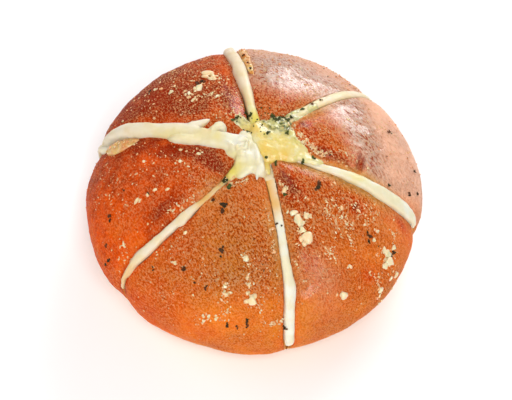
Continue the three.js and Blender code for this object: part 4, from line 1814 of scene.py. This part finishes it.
@dataclass
class Butter:
    """The pool of garlic butter, and the toasted butter beside two arms."""

    bread: Bread
    turns: int = 180
    rings: int = 60
    voxel: float = 0.34
    softening: int = 3

    @staticmethod
    def _relief(points: Array) -> Array:
        """Soft lumps of 3 mm with smaller ones among them, over the plan."""
        flat = points * [1, 1, 0]
        herby = Butter._herby(points)
        return 0.5 * noise(flat, 3.1, 92) + (0.16 + 0.3 * herby) * noise(flat, 1.3, 93)

    @staticmethod
    def _herby(points: Array) -> Array:
        """Where the butter is thick with chopped herbs.

        Args:
            points: places on the butter.

        Returns:
            From 0 to 1: a band along the pool's north side, with weaker ends east and west.
        """
        x, y = points[..., 0], points[..., 1]
        band = smoothstep(3.0, 6.5, y + 0.15 * x) * smoothstep(0.5, 3.0, x)
        band = band * (0.3 + 0.7 * smoothstep(13.5, 10.5, x))
        east = 0.4 * smoothstep(10.5, 12.5, x) * smoothstep(-2.0, 1.0, y)
        west = 0.55 * smoothstep(5.5, 7.5, y) * smoothstep(-1.0, -2.5, x)
        return np.clip(np.maximum(np.maximum(band, east), west), 0, 1)

    def _pool(self) -> Patch:
        """The pool: a low dome that is highest beside the cream, closed underneath."""
        turn, share = Heap.fan(self.turns, self.rings)
        dome = BUTTER_POOL.rise * np.sqrt(np.maximum(1 - share**2.6, 0)) * 0.8
        west = 0.9 * bell(turn_between(turn, 195), 45) * smoothstep(0.2, 0.8, share)
        return BUTTER_POOL.body(self.bread.roll, dome + west - 0.4 * share**8, 1.6)

    def _spills(self) -> list[Patch]:
        """Tongues of butter that run out of the pool between the arms."""
        strokes = (
            Stroke(((1, 3.6, 5.4, 0.9), (-1.6, 5.6, 5.4, 0.8), (-3.6, 7.4, 4.6, 0.8),
                    (-5.2, 8.8, 3.6, 0.6), (-6.6, 9.8, 3, 0.4))),
            Stroke(((14, -4.4, 4, 1.5), (18, -5.6, 3.2, 1.2), (22, -6.6, 2, 0.8))),
            Stroke(((8, 8.2, 5.4, 1.1), (11.2, 10, 5, 1.1), (15.2, 13.2, 4.2, 0.9),
                    (19.6, 17, 3, 0.8), (23.6, 20.4, 1.4, 0.5))),
            Stroke(((10.4, 7.4, 2.6, 1), (11.4, 4.2, 2.2, 0.9), (12, 1.4, 2, 0.8),
                    (14.4, -1.2, 2, 0.8), (17.6, -3.4, 1.4, 0.6))),
            Stroke(((3, -5, 3.4, 1.6), (3.6, -7.6, 2.6, 1), (4.2, -11, 2, 0.6))),
        )
        return [stroke.patch(self.bread) for stroke in strokes]

    def _toasted(self) -> list[Patch]:
        """Toasted butter: lumpy strands beside the north arm and under the west arm's lip."""
        strokes = (
            Stroke(((-4.9, 46.8, 2, 1.2), (-4.2, 44.4, 3.4, 1.6), (-3.4, 40.8, 3.4, 1.6),
                    (-2.4, 36.7, 2.8, 1.3), (-1.6, 33.1, 2.2, 1), (-0.4, 29.8, 1.2, 0.6))),
            Stroke(((-47.6, 6.4, 3.2, 1.2), (-45.4, 5, 4.8, 1.6), (-42.6, 4.8, 4.8, 1.4),
                    (-39.6, 5.2, 3.4, 1), (-36.4, 5.6, 1.4, 0.5))),
        )
        patches = []
        for stroke in strokes:
            patch = stroke.patch(self.bread, rows=80, around=36)
            normals = unit(patch.points - [0, 0, 10])
            lumps = 0.55 * fractal(patch.points, 2.2, 2, 95) + 0.4 * noise(patch.points, 0.9, 97)
            patch.points = patch.points + lumps[:, None] * normals
            tone = smoothstep(-0.5, 0.6, fractal(patch.points, 2.0, 2, 96))
            patch.values = {"creamy": 0.2 * tone, "toasted": 0.95 - 0.5 * tone}
            patch.values |= {"herby": np.zeros_like(tone), "deep": np.zeros_like(tone)}
            patches.append(patch)
        return patches

    def _tint(self, mesh: bpy.types.Mesh) -> None:
        """Marks the kinds of butter.

        Args:
            mesh: the pool, which gets the values herby, most on the north, deep, most in hollows,
                creamy, most beside the cream, and toasted.
        """
        points = points_of(mesh)
        lumps, wells = self._relief(points), amount(BUTTER_WELLS, points)
        edge = smoothstep(6.5, 9.5, polar(points - [6.5, -0.5, 0.0])[0])
        creamy = np.clip(0.6 * smoothstep(-3.0, -6.0, points[:, 0]) + 0.5 * edge, 0, 1)
        values = {
            "herby": self._herby(points) * smoothstep(-0.6, 0.3, lumps + 0.2),
            "deep": 0.9 * wells + 0.5 * smoothstep(0.1, -0.5, lumps),
            "creamy": creamy * (1 - 0.8 * wells),
            "toasted": np.zeros(len(points)),
        }
        mark(mesh, {name: np.clip(tone, 0, 1) for name, tone in values.items()})

    def build(self) -> list[bpy.types.Object]:
        """Makes the pool and the toasted butter."""
        finish = ButterFinish().material()
        bodies = Patch.joined([self._pool(), *self._spills()])
        pool = fused("butter_pool", bodies, self.voxel, self.softening)
        points, normals = points_of(pool.data), vectors_of(pool.data, "normal")
        upwards = np.clip(normals[:, 2:], 0, 1)
        set_points(pool.data, points + self._relief(points)[:, None] * normals * upwards)
        self._tint(pool.data)
        crusted = make_piece("toasted_butter", Patch.joined(self._toasted()))
        return [
            dressed(pool, finish, "garlic_butter"),
            dressed(crusted, finish, "bun"),
        ]


class Ground:
    """What scattered things lie on: the shown surface of the pieces made so far.

    A thing drops from OVER millimetres over the form, by DROP at most, and is levelled a little.
    """

    OVER = 9.0
    DROP = 30.0
    LEVELLING = 0.6

    def __init__(self, pieces: list[bpy.types.Object], roll: RollForm) -> None:
        """Keeps the pieces' surfaces, and the form that says which way is out."""
        self.roll = roll
        self.trees = [BVHTree.FromObject(p, bpy.context.evaluated_depsgraph_get()) for p in pieces]

    def settle(self, plan: Array) -> tuple[Array, Array, Array]:
        """Drops each place of the plan onto the outermost surface under it.

        Args:
            plan: places, with x and y in the last axis.

        Returns:
            Places in millimetres, the outward direction of the surface there, and whether that
            surface is the first piece's.
        """
        step, azimuth = self.roll.under(plan)
        normals = self.roll.outward(step, azimuth)
        starts = self.roll.point(step, azimuth, self.OVER)
        places, facing, bare = [], [], []
        for start, normal in zip((starts + TO_CENTRE) * MM, normals):
            hits = [t.ray_cast(Vector(start), Vector(-normal), self.DROP * MM) for t in self.trees]
            first = min((k for k, hit in enumerate(hits) if hit[0]), key=lambda k: hits[k][3])
            place, way = hits[first][:2]
            places.append(place)
            facing.append(way if way.dot(Vector(normal)) > 0 else -way)
            bare.append(first == 0)
        outwards = unit(np.array(facing) + self.LEVELLING * normals)
        return np.array(places) / MM - TO_CENTRE, outwards, np.array(bare)


@dataclass
class Lumps:
    """Many small uneven bodies on the ground, as one mesh."""

    seed: int
    fineness: int
    roughness: float
    flats: int
    sunk: float

    def _ball(self) -> tuple[Array, Array]:
        """Points and three-cornered faces of a unit ball."""
        work = bmesh.new()
        bmesh.ops.create_icosphere(work, subdivisions=self.fineness, radius=1.0)
        mesh = bpy.data.meshes.new("ball")
        work.to_mesh(mesh)
        work.free()
        points, faces = vectors_of(mesh, "co"), np.empty(len(mesh.loops), np.int32)
        mesh.loops.foreach_get("vertex_index", faces)
        bpy.data.meshes.remove(mesh)
        return points, faces.reshape(-1, 3)

    def patch(self, places: Array, normals: Array, sizes: Array, toast: Array) -> Patch:
        """Puts a lump at each place.

        A lump is a ball whose radius is changed by noise, with flat sides cut by random planes,
        stretched to its size, turned at random about the surface's outward direction and sunk by
        a share of its height.

        Args:
            places: where the lumps go.
            normals: outward directions there.
            sizes: length, width and height of each.
            toast: how brown each is.

        Returns:
            All lumps, with the value toast at their points.
        """
        draw = np.random.default_rng(self.seed)
        ball, faces = self._ball()
        count = len(places)
        spots = ball[None] * 1.2 + draw.uniform(0, 400, (count, 1, 3))
        body = ball[None] * (1 + self.roughness * noise(spots, 1.0, self.seed))[..., None]
        for _ in range(self.flats):
            way = unit(draw.normal(size=(count, 1, 3)))
            reach = draw.uniform(0.45, 0.8, (count, 1))
            over = np.maximum((body * way).sum(-1) - reach, 0)
            body = body - over[..., None] * way
        body = body * sizes[:, None] / 2
        axes = standing(normals, draw.uniform(0, 2 * np.pi, count))
        points = places[:, None] + np.einsum("nvk,nkj->nvj", body, axes)
        points = points + (sizes[:, 2] * (0.5 - self.sunk))[:, None, None] * normals[:, None]
        starts = (np.arange(count) * len(ball))[:, None, None]
        tone = np.repeat(toast, len(ball))
        return Patch(points.reshape(-1, 3), (faces[None] + starts).reshape(-1, 3), {"toast": tone})


@dataclass
class Flakes:
    """Torn bits of leaf on the ground, as one mesh."""

    seed: int
    turns: int = 14
    rings: int = 3
    thickness: float = 0.22

    def patch(
        self, places: Array, normals: Array, lengths: Array, widths: Array, toast: Array
    ) -> Patch:
        """Puts a bit of leaf at each place.

        Its outline is a circle with three random waves of two to five lobes, stretched to its
        length and width. It is folded along its middle, curled at its ends and bent by noise, and
        its underside lies a thickness below.

        Args:
            places: where the bits go.
            normals: outward directions there.
            lengths: length of each.
            widths: width of each.
            toast: how brown each is.

        Returns:
            All bits, with the value toast at their points.
        """
        draw = np.random.default_rng(self.seed)
        count = len(places)
        turn = np.linspace(0, 2 * np.pi, self.turns, endpoint=False)
        outline = np.ones((count, self.turns))
        for lobes in (2, 3, 5):
            phase = draw.uniform(0, 2 * np.pi, (count, 1))
            outline += draw.uniform(0.06, 0.22, (count, 1)) * np.cos(lobes * turn + phase)
        share = np.array([1e-3, 0.5, 0.85, 1.0, 1.0, 0.85, 0.5, 1e-3])
        side = np.array([1, 1, 1, 0.6, -0.6, -1, -1, -1]) * self.thickness / 2
        x = share[:, None] * outline[:, None] * np.cos(turn) * lengths[:, None, None] / 2
        y = share[:, None] * outline[:, None] * np.sin(turn) * widths[:, None, None] / 2
        fold, curl = draw.uniform(-0.2, 0.55, (2, count, 1, 1))
        z = fold * np.abs(y) + curl * x**2 / lengths[:, None, None] + side[:, None]
        own = np.broadcast_to(9.0 * np.arange(count)[:, None, None], x.shape)
        z = z + 0.18 * noise(np.stack([x, y, own], -1), 0.8)
        axes = standing(normals, draw.uniform(0, 2 * np.pi, count))
        spots = np.stack([x, y, z + 0.16], -1)
        points = places[:, None, None] + np.einsum("nrtk,nkj->nrtj", spots, axes)
        one = grid_faces(len(share), self.turns, closed=True)
        each = len(share) * self.turns
        faces = (one[None] + (np.arange(count) * each)[:, None, None]).reshape(-1, 4)
        return Patch(points.reshape(-1, 3), faces, {"toast": np.repeat(toast, each)})


# x, y, length, width, height
GARLIC = (
    (-15.4, 30.6, 4.4, 2.4, 1.8), (-14, 28.2, 2.6, 2, 1.2), (-17.9, 22.9, 2.6, 2.4, 1.9),
    (-21.2, 21.2, 1.6, 1.1, 0.8), (-19.9, 18.2, 1.8, 1, 0.7), (9.1, -16.7, 2.2, 1.4, 1.1),
    (12, -23.8, 2.6, 1.8, 1.2), (13.2, -26, 3.8, 2.6, 1.6), (15.8, -24.6, 2.4, 1.8, 0.9),
    (15.8, -31.3, 3.8, 3.6, 2.3), (14.4, -28.8, 2.4, 1.6, 1.2), (26.9, -43.9, 2.7, 2.5, 1.8),
    (41.3, -31.8, 3.6, 3.2, 1.9), (40.3, -33, 2.6, 2.2, 1.5), (39.9, -29.6, 2.2, 1.4, 1),
    (43.2, -27.5, 1.6, 1.4, 1), (43.8, -32.6, 2.6, 1.3, 1), (41.8, -34.6, 1.8, 1.2, 0.9),
    (36.8, -28, 1.4, 1.1, 0.8), (37.9, -25.2, 1.5, 0.9, 0.7), (38.2, -38.6, 2.4, 1.6, 1),
    (28.9, -37, 1.6, 1, 0.7), (-0.8, -48.1, 3, 2.6, 1.7), (-2.2, -46.4, 1.4, 1.1, 0.8),
    (-1.9, -44.4, 1.3, 1.1, 0.8), (-2.7, -37.9, 1.7, 1.5, 0.9), (-8.8, -46.3, 1.9, 1.3, 1),
    (-9, -44.6, 1.2, 1, 0.7), (-15.4, -51.2, 1.6, 1, 0.8), (-13.8, -50.6, 1.4, 1, 0.7),
    (-11.7, -51.4, 1.1, 0.9, 0.7), (-36.6, -16.6, 2.8, 0.9, 0.8), (-30.8, -14.4, 1.3, 1, 0.7),
    (-26.9, -14.8, 1.7, 0.9, 0.7), (-23.1, -6, 1.2, 1, 0.7), (-17.4, -3.8, 1.4, 0.9, 0.6),
    (-34.6, -3.8, 1.2, 0.9, 0.6), (-41, -28.1, 2, 0.9, 0.7), (-24.2, -37.2, 1.4, 1, 0.7),
    (-27, 23.2, 1.5, 1.2, 0.8), (-32.4, 26.3, 1.4, 0.8, 0.6), (-12.2, 18.4, 1.6, 0.9, 0.6),
)
# x, y, length, width
HERBS = (
    (-18.5, 25.8, 2.2, 1.2), (-17.2, 26.6, 1.5, 1), (-34, 26.6, 0.9, 0.7),
    (19.5, -13.8, 1.8, 0.9), (19.2, -15.4, 1.9, 1.2), (9.2, -17.9, 1.1, 0.7),
    (-9.6, -21.6, 2.2, 1.4), (-9.9, -23.4, 1.6, 1.1), (-13, -19.4, 1.2, 0.8),
    (-10, -35.1, 1.6, 1.3), (-10.3, -36.8, 0.8, 0.6), (-21.5, -39.1, 1.1, 1),
    (-18, -42.9, 0.8, 0.6), (-14.9, -44.7, 1.3, 0.6), (-8.4, -52.9, 1.2, 0.9),
    (-5.6, -53.3, 0.8, 0.6), (-2.4, -52.4, 1.6, 0.7), (-2.2, -53.3, 1.1, 0.7),
    (-45, -18.4, 1.5, 0.9), (-44.9, -19.6, 0.9, 0.7), (-46.5, -25.8, 1.1, 0.8),
    (-45.8, -29.5, 1.6, 0.9), (-33, -15.2, 0.9, 0.7), (-40.6, -12.1, 0.7, 0.5),
    (-21.4, -39.3, 1, 0.7), (35.4, -27.2, 2.2, 0.9), (35, -28.9, 0.9, 0.7),
    (42.1, -29.8, 1.5, 1.1), (43, -28.7, 1.4, 1), (42.4, -9.2, 1, 0.7),
    (43.2, 11.6, 1.3, 0.6), (48.6, -9, 0.9, 0.8), (50.6, 0.1, 0.9, 0.7), (51.3, -7.2, 0.9, 0.7),
    (6.7, -27.4, 0.9, 0.7), (8.1, -27.9, 0.7, 0.5), (-9.2, -12, 1.9, 1.3), (-7.9, -15.4, 1.6, 1.1),
    (-6.9, 8.3, 1.4, 0.9), (-5.5, 9.1, 1.2, 0.8), (-2.9, 11.9, 1.7, 1.2), (-1.4, 10.2, 1.6, 1.1),
    (5.5, 10.2, 1.7, 1), (6.6, 8.2, 1.5, 1.2), (8.9, 10, 1.8, 1.3), (10.5, 8.8, 1.4, 1),
    (7.8, 9.2, 1.2, 0.8), (11.5, 10.6, 1.3, 0.9), (3.9, 2.4, 1.3, 0.8), (9.8, 2.9, 1.2, 0.8),
    (-2.3, 4.4, 0.9, 0.6), (3.5, -5.9, 1.1, 0.8), (15, -6.5, 1.2, 0.8), (18.1, -5.1, 1.3, 0.9),
    (6.5, -7.2, 1.2, 0.8), (15.1, 14.2, 1.3, 0.8), (18.4, 16.8, 1.2, 0.6), (21.2, 19.2, 0.8, 0.6),
    (-3.9, 39.8, 0.8, 0.6), (-2.4, 35.9, 0.8, 0.6), (-1.4, 32.8, 0.8, 0.6), (9.2, -53.2, 1.2, 0.9),
)
# scatter, count and size, then the places x and y that a trail of crumbs runs through
TRAILS = (
    (0.8, 40, 0.9, -8.6, -44.2, -9, -52.4), (0.6, 34, 0.8, -3, -35.5, -1.4, -46.4),
    (0.5, 20, 0.7, 0.4, -47.6, 3.4, -54), (0.9, 22, 1, -22.6, 23, -19.8, 17.6),
    (1, 20, 0.9, -16, 20.2, -12.2, 18.4), (0.7, 30, 0.9, 24, -19, 30.4, -26.8),
    (0.8, 26, 0.9, 29.4, -18.4, 35.2, -23.6), (0.7, 24, 0.8, 20.4, -20.6, 25.4, -28.8),
    (0.7, 22, 0.8, 26, -23.2, 30.4, -31.8), (0.7, 16, 0.8, 33.4, -17.8, 38.4, -22.4),
    (1, 40, 0.8, -28, -21.6, -18.4, -18.6), (1.4, 16, 0.9, -11.4, 29.6, -13.4, 25.6),
    (1.6, 30, 1, 39, -31, 43.6, -30.2), (0.9, 22, 1, 36.6, -36.6, 39.4, -39.4),
    (1.6, 30, 0.9, 14, -22.6, 15, -33.4), (0.8, 16, 0.8, -17.6, -50.8, -11, -51.2),
    (1.4, 16, 0.8, -42.6, -27, -39, -33), (1.2, 36, 0.8, 10.8, 6.4, 20.4, -3.6),
    (0.8, 20, 0.9, -8.6, 9.8, -4.2, 10.6), (0.9, 26, 0.8, -10.4, -13.4, -2, -14.2),
    (1, 22, 0.8, 21, -34, 24.6, -36.6), (2.6, 30, 0.8, -36, -3, -18, -9),
    (3, 24, 0.8, -38, 24, -22, 32), (0.8, 26, 0.9, -4.6, 45.6, -3.4, 40.8, -1.2, 32),
    (1, 30, 1, -47.4, 6.2, -42, 5, -37.4, 5.6), (0.8, 24, 0.9, -10, -13.2, -6.4, -15.4),
    (0.15, 16, 0.6, 11.4, -37.4, 12.4, -38, 12.9, -39.2, 13.6, -40.2),
    (0.2, 30, 0.7, 23.6, -23.2, 24.6, -25.5, 25.5, -27.5, 26.5, -30.2),
    (0.15, 20, 0.6, 20.8, -33.6, 22, -34.3, 23.3, -34.9, 24.2, -36.2),
    (0.15, 12, 0.6, 22, -34.3, 23, -33.1, 24.4, -32.6),
    (0.15, 14, 0.5, 12.9, -43.6, 14.9, -42.7, 16.9, -42.3),
    (0.2, 14, 0.7, 21.8, -19.4, 23.2, -22.4), (0.2, 18, 0.6, 27.6, -27.5, 29, -29.8, 30, -31.8),
    (0.2, 22, 0.8, 7.3, -12.2, 8, -14.5, 9.2, -15.5, 10, -16),
    (0.2, 16, 0.7, 41.5, -23, 42.8, -23.4, 43.8, -24.4, 43.3, -25.4),
    (0.25, 24, 1, 4.4, -53.3, 6.8, -52.9, 8.8, -52.4), (0.3, 18, 0.9, 37, -36.6, 38.5, -39.8),
    (0.3, 40, 0.9, 13.2, 3, 15.4, 1.6, 17.6, -0.4, 18.6, -1.6),
    (0.35, 50, 1, 13.6, 0.6, 16.6, -0.8, 19.6, -2.8, 22, -3.2),
    (0.2, 20, 0.6, 20.6, -1.8, 22.4, -2.6, 23.6, -1.8, 24.6, -3.4),
    (0.2, 16, 0.6, 25.6, -2, 27.6, -1.2, 29.6, -3.4), (0.2, 10, 0.6, 30.6, -2.2, 32.4, -4.4),
    (0.2, 12, 0.6, 34.4, -3.6, 35.6, -5.2, 35, -7),
    (0.2, 18, 0.6, -10, 19.6, -12, 18.4, -15.6, 20.2),
    (0.2, 14, 0.6, -3.8, 16, -5.2, 13.4, -7, 13.2),
    (0.15, 44, 0.55, 4, -23.2, 4.4, -27.6, 5.2, -33, 6, -38, 6.9, -43),
)


@dataclass
class Toppings:
    """Minced garlic, crumbs and grains of it, and parsley, on the crust and the cream."""

    bread: Bread
    ground: Ground
    seed: int = 23
    loose_garlic: int = 60
    grains: int = 2000
    small_herbs: int = 44
    reach: float = 53.0
    centre: float = 16.0

    def _lumps(self, table: Array, toast: Array, maker: Lumps) -> Patch:
        """Lumps at the places of a table of x, y, length, width and height."""
        places, normals, _ = self.ground.settle(table[:, :2])
        return maker.patch(places, normals, table[:, 2:], toast)

    def _garlic(self, draw: np.random.Generator) -> Patch:
        """The shown pieces of garlic, each a lump with smaller ones against it, and loose bits.

        Args:
            draw: source of chance.

        Returns:
            All of them.
        """
        large = np.array(GARLIC)
        toast = draw.uniform(0.0, 0.35, len(large))
        near = np.repeat(large, 3, 0)
        near[:, :2] += draw.normal(0, 0.3, (len(near), 2)) * near[:, 2:4]
        near[:, 2:] *= draw.uniform(0.35, 0.7, (len(near), 1))
        far = self.reach * np.sqrt(draw.uniform(0.12, 0.98, self.loose_garlic))
        turn = draw.uniform(0, 2 * np.pi, self.loose_garlic)
        plan = np.stack([far * np.cos(turn), far * np.sin(turn)], -1)
        plan = plan[self.ground.settle(plan)[2]]
        length = 0.7 + 1.0 * draw.uniform(0, 1, len(plan)) ** 2
        loose = np.concatenate([plan, np.outer(length, [1.0, 0.7, 0.45])], -1)
        beside, browned = np.repeat(toast, 3) + 0.15, draw.uniform(0.2, 1.0, len(loose))
        return Patch.joined(
            [
                self._lumps(large, toast, Lumps(self.seed, 3, 0.3, 2, 0.3)),
                self._lumps(near, beside, Lumps(self.seed + 1, 2, 0.25, 1, 0.35)),
                self._lumps(loose, browned, Lumps(self.seed + 2, 2, 0.35, 3, 0.3)),
            ]
        )

    def _crumbs(self, draw: np.random.Generator) -> Patch:
        """Crumbs of garlic along trails, thickest at the middle of each trail's width.

        Args:
            draw: source of chance.

        Returns:
            All of them.
        """
        rows = []
        for scatter, count, size, *path in TRAILS:
            knots = np.linspace(0, 1, len(path) // 2)
            share = draw.uniform(0, 1, count)
            plan = np.stack([np.interp(share, knots, path[k::2]) for k in (0, 1)], -1)
            plan = plan + draw.normal(0, scatter, (count, 2))
            length = size * (0.45 + 0.75 * draw.uniform(0, 1, count) ** 2)
            rows.append(np.concatenate([plan, np.outer(length, [1.2, 0.7, 0.5])], -1))
        table = np.concatenate(rows)
        toast = draw.uniform(0.2, 0.9, len(table))
        return self._lumps(table, toast, Lumps(self.seed + 3, 2, 0.4, 2, 0.3))

    def _grains(self, draw: np.random.Generator) -> Patch:
        """Fine grains all over the dome, thicker in patches.

        Args:
            draw: source of chance.

        Returns:
            All of them.
        """
        many = self.grains * 3
        r = self.bread.roll.radius * np.sqrt(draw.uniform(0.03, 1.0, many))
        azimuth = draw.uniform(0, 360, many)
        step = self.bread.roll.step_at(r) + draw.uniform(0, 0.12, many) * (r > self.reach)
        flat = self.bread.roll.point(step, azimuth, 0.0)
        to_cut = self.bread.wedge(step, azimuth)[1]
        dense = smoothstep(-0.1, 0.5, noise(flat, 6.0, 101))
        keep = (draw.uniform(0, 1, many) < 0.08 + 0.7 * dense) & (to_cut > 0.8)
        step, azimuth = step[keep][: self.grains], azimuth[keep][: self.grains]
        places = self.bread.point(step, azimuth)
        normals = self.bread.roll.outward(step, azimuth)
        length = 0.35 + 0.5 * draw.uniform(0, 1, len(step)) ** 2
        sizes = np.outer(length, [1.0, 0.75, 0.5])
        toast = draw.uniform(0.45, 1.1, len(step))
        return Lumps(self.seed + 4, 1, 0.25, 0, 0.25).patch(places, normals, sizes, toast)

    def _herbs(self, draw: np.random.Generator) -> Patch:
        """The parsley that shows, and small flecks in the butter and on the crust.

        Args:
            draw: source of chance.

        Returns:
            All of it.
        """
        shown = np.array(HERBS)
        near = np.repeat(shown, 3, 0)
        near[:, :2] += draw.normal(0, 0.24, (len(near), 2)) * near[:, 2:3]
        near[:, 2:] *= draw.uniform(0.4, 0.8, (len(near), 1))
        count = self.small_herbs
        r = np.where(draw.uniform(0, 1, count) < 0.45, draw.uniform(2, 15, count), 0)
        r = np.where(r > 0, r, self.reach * np.sqrt(draw.uniform(0.1, 0.95, count)))
        inner = r < self.centre
        turn = np.radians(np.where(inner, draw.uniform(35, 130, count), 360 * draw.random(count)))
        plan = np.stack([r * np.cos(turn), r * np.sin(turn)], -1)
        plan = plan[self.ground.settle(plan)[2] | inner]
        size = draw.uniform(0.4, 0.7, len(plan))
        small = np.concatenate([plan, np.outer(size, [1.0, 0.7])], -1)
        table = np.concatenate([shown, near, small])
        places, normals, _ = self.ground.settle(table[:, :2])
        far = polar(table)[0] > 22
        toast = np.where(far, draw.uniform(0.4, 1.0, len(table)), draw.uniform(0, 0.5, len(table)))
        return Flakes(self.seed + 5).patch(places, normals, table[:, 2], table[:, 3], toast)

    def build(self) -> list[bpy.types.Object]:
        """Makes the garlic, its crumbs and grains, and the herbs."""
        draw = np.random.default_rng(self.seed)
        garlic = GarlicFinish().material()
        pieces = (
            ("garlic_pieces", self._garlic(draw), garlic, 0.0),
            ("garlic_crumbs", self._crumbs(draw), garlic, 0.0),
            ("garlic_grains", self._grains(draw), garlic, 0.0),
            ("parsley", self._herbs(draw), HerbFinish().material(), 0.005),
        )
        return [
            dressed(make_piece(name, patch, weld), finish, "bun")
            for name, patch, finish, weld in pieces
        ]


@dataclass(frozen=True)
class Lamp:
    """A soft lamp: its direction and distance from the bun, its size and its light, in metres."""

    name: str
    towards: tuple[float, float, float]
    far: float
    size: float
    power: float
    colour: tuple[float, float, float]
    flatness: float = 0.7
    aim_height: float = 0.02

    def build(self) -> None:
        """Hangs the lamp so that it faces the bun."""
        lamp = bpy.data.lights.new(self.name, "AREA")
        lamp.shape = "RECTANGLE"
        lamp.size, lamp.size_y = self.size, self.size * self.flatness
        lamp.energy, lamp.color = self.power, self.colour
        holder = placed(self.name, lamp)
        way = Vector(self.towards).normalized()
        holder.location = way * self.far + Vector((0, 0, self.aim_height))
        holder.rotation_euler = way.to_track_quat("Z", "Y").to_euler()


LAMPS = (
    Lamp("window", (0.43, 0.76, 0.45), 0.75, 0.45, 3.4, (0.95, 0.97, 1.0)),
    Lamp("far_window", (0.19, 0.93, 0.34), 0.8, 0.42, 1.8, (0.95, 0.97, 1.0)),
    Lamp("left", (-0.7, 0.04, 0.6), 0.9, 0.8, 2.3, (1.0, 0.98, 0.96)),
    Lamp("main", (0.08, -0.48, 0.86), 0.85, 0.5, 3.9, (1.0, 0.985, 0.96)),
    Lamp("front", (0.1, -0.86, 0.5), 0.8, 0.3, 2.5, (0.97, 0.98, 1.0)),
)


@dataclass
class Studio:
    """The plain floor, soft light and camera."""

    floor_size: float = 12000.0
    glow: float = 0.2
    elevation: float = 58.7
    far: float = 450.0
    lens: float = 94.33
    sensor: float = 36.0
    nearest: float = 0.01
    aim: tuple[float, float, float] = (0.33, 0.0, 13.38)

    def build(self) -> None:
        """Makes the floor, lamps, world and camera."""
        scene = bpy.context.scene
        corners = self.floor_size / 2 * np.array([[-1, -1, 0], [1, -1, 0], [1, 1, 0], [-1, 1, 0]])
        floor = make_piece("floor", Patch(corners, np.array([[0, 1, 2, 3]])), 0.0)
        floor.data.materials.append(FloorFinish().material())
        for lamp in LAMPS:
            lamp.build()
        world = bpy.data.worlds.new("studio")
        world.use_nodes = True
        world.node_tree.nodes["Background"].inputs[0].default_value = (1.0, 1.0, 1.0, 1.0)
        world.node_tree.nodes["Background"].inputs[1].default_value = self.glow
        scene.world = world
        scene.view_settings.view_transform = "Standard"
        tilt = np.radians(self.elevation)
        back = Vector((0.0, -float(np.cos(tilt)), float(np.sin(tilt))))
        camera = placed("camera", bpy.data.cameras.new("camera"))
        camera.data.lens = self.lens
        camera.data.sensor_width = self.sensor
        camera.data.clip_start = self.nearest
        camera.location = (Vector(self.aim) + Vector(TO_CENTRE)) * MM + back * self.far * MM
        camera.rotation_euler = back.to_track_quat("Z", "Y").to_euler()
        scene.camera = camera


def main() -> None:
    """Builds the bun piece by piece."""
    logging.basicConfig(level=logging.INFO, format="%(message)s")
    roll = RollForm()
    bread = Bread(roll, CutStar(roll))
    loaf = Loaf(bread).build()
    cream = Cream(bread).build()
    butter = Butter(bread).build()
    Toppings(bread, Ground([loaf, *cream, *butter], roll)).build()
    Studio().build()


if __name__ == "__main__":
    main()
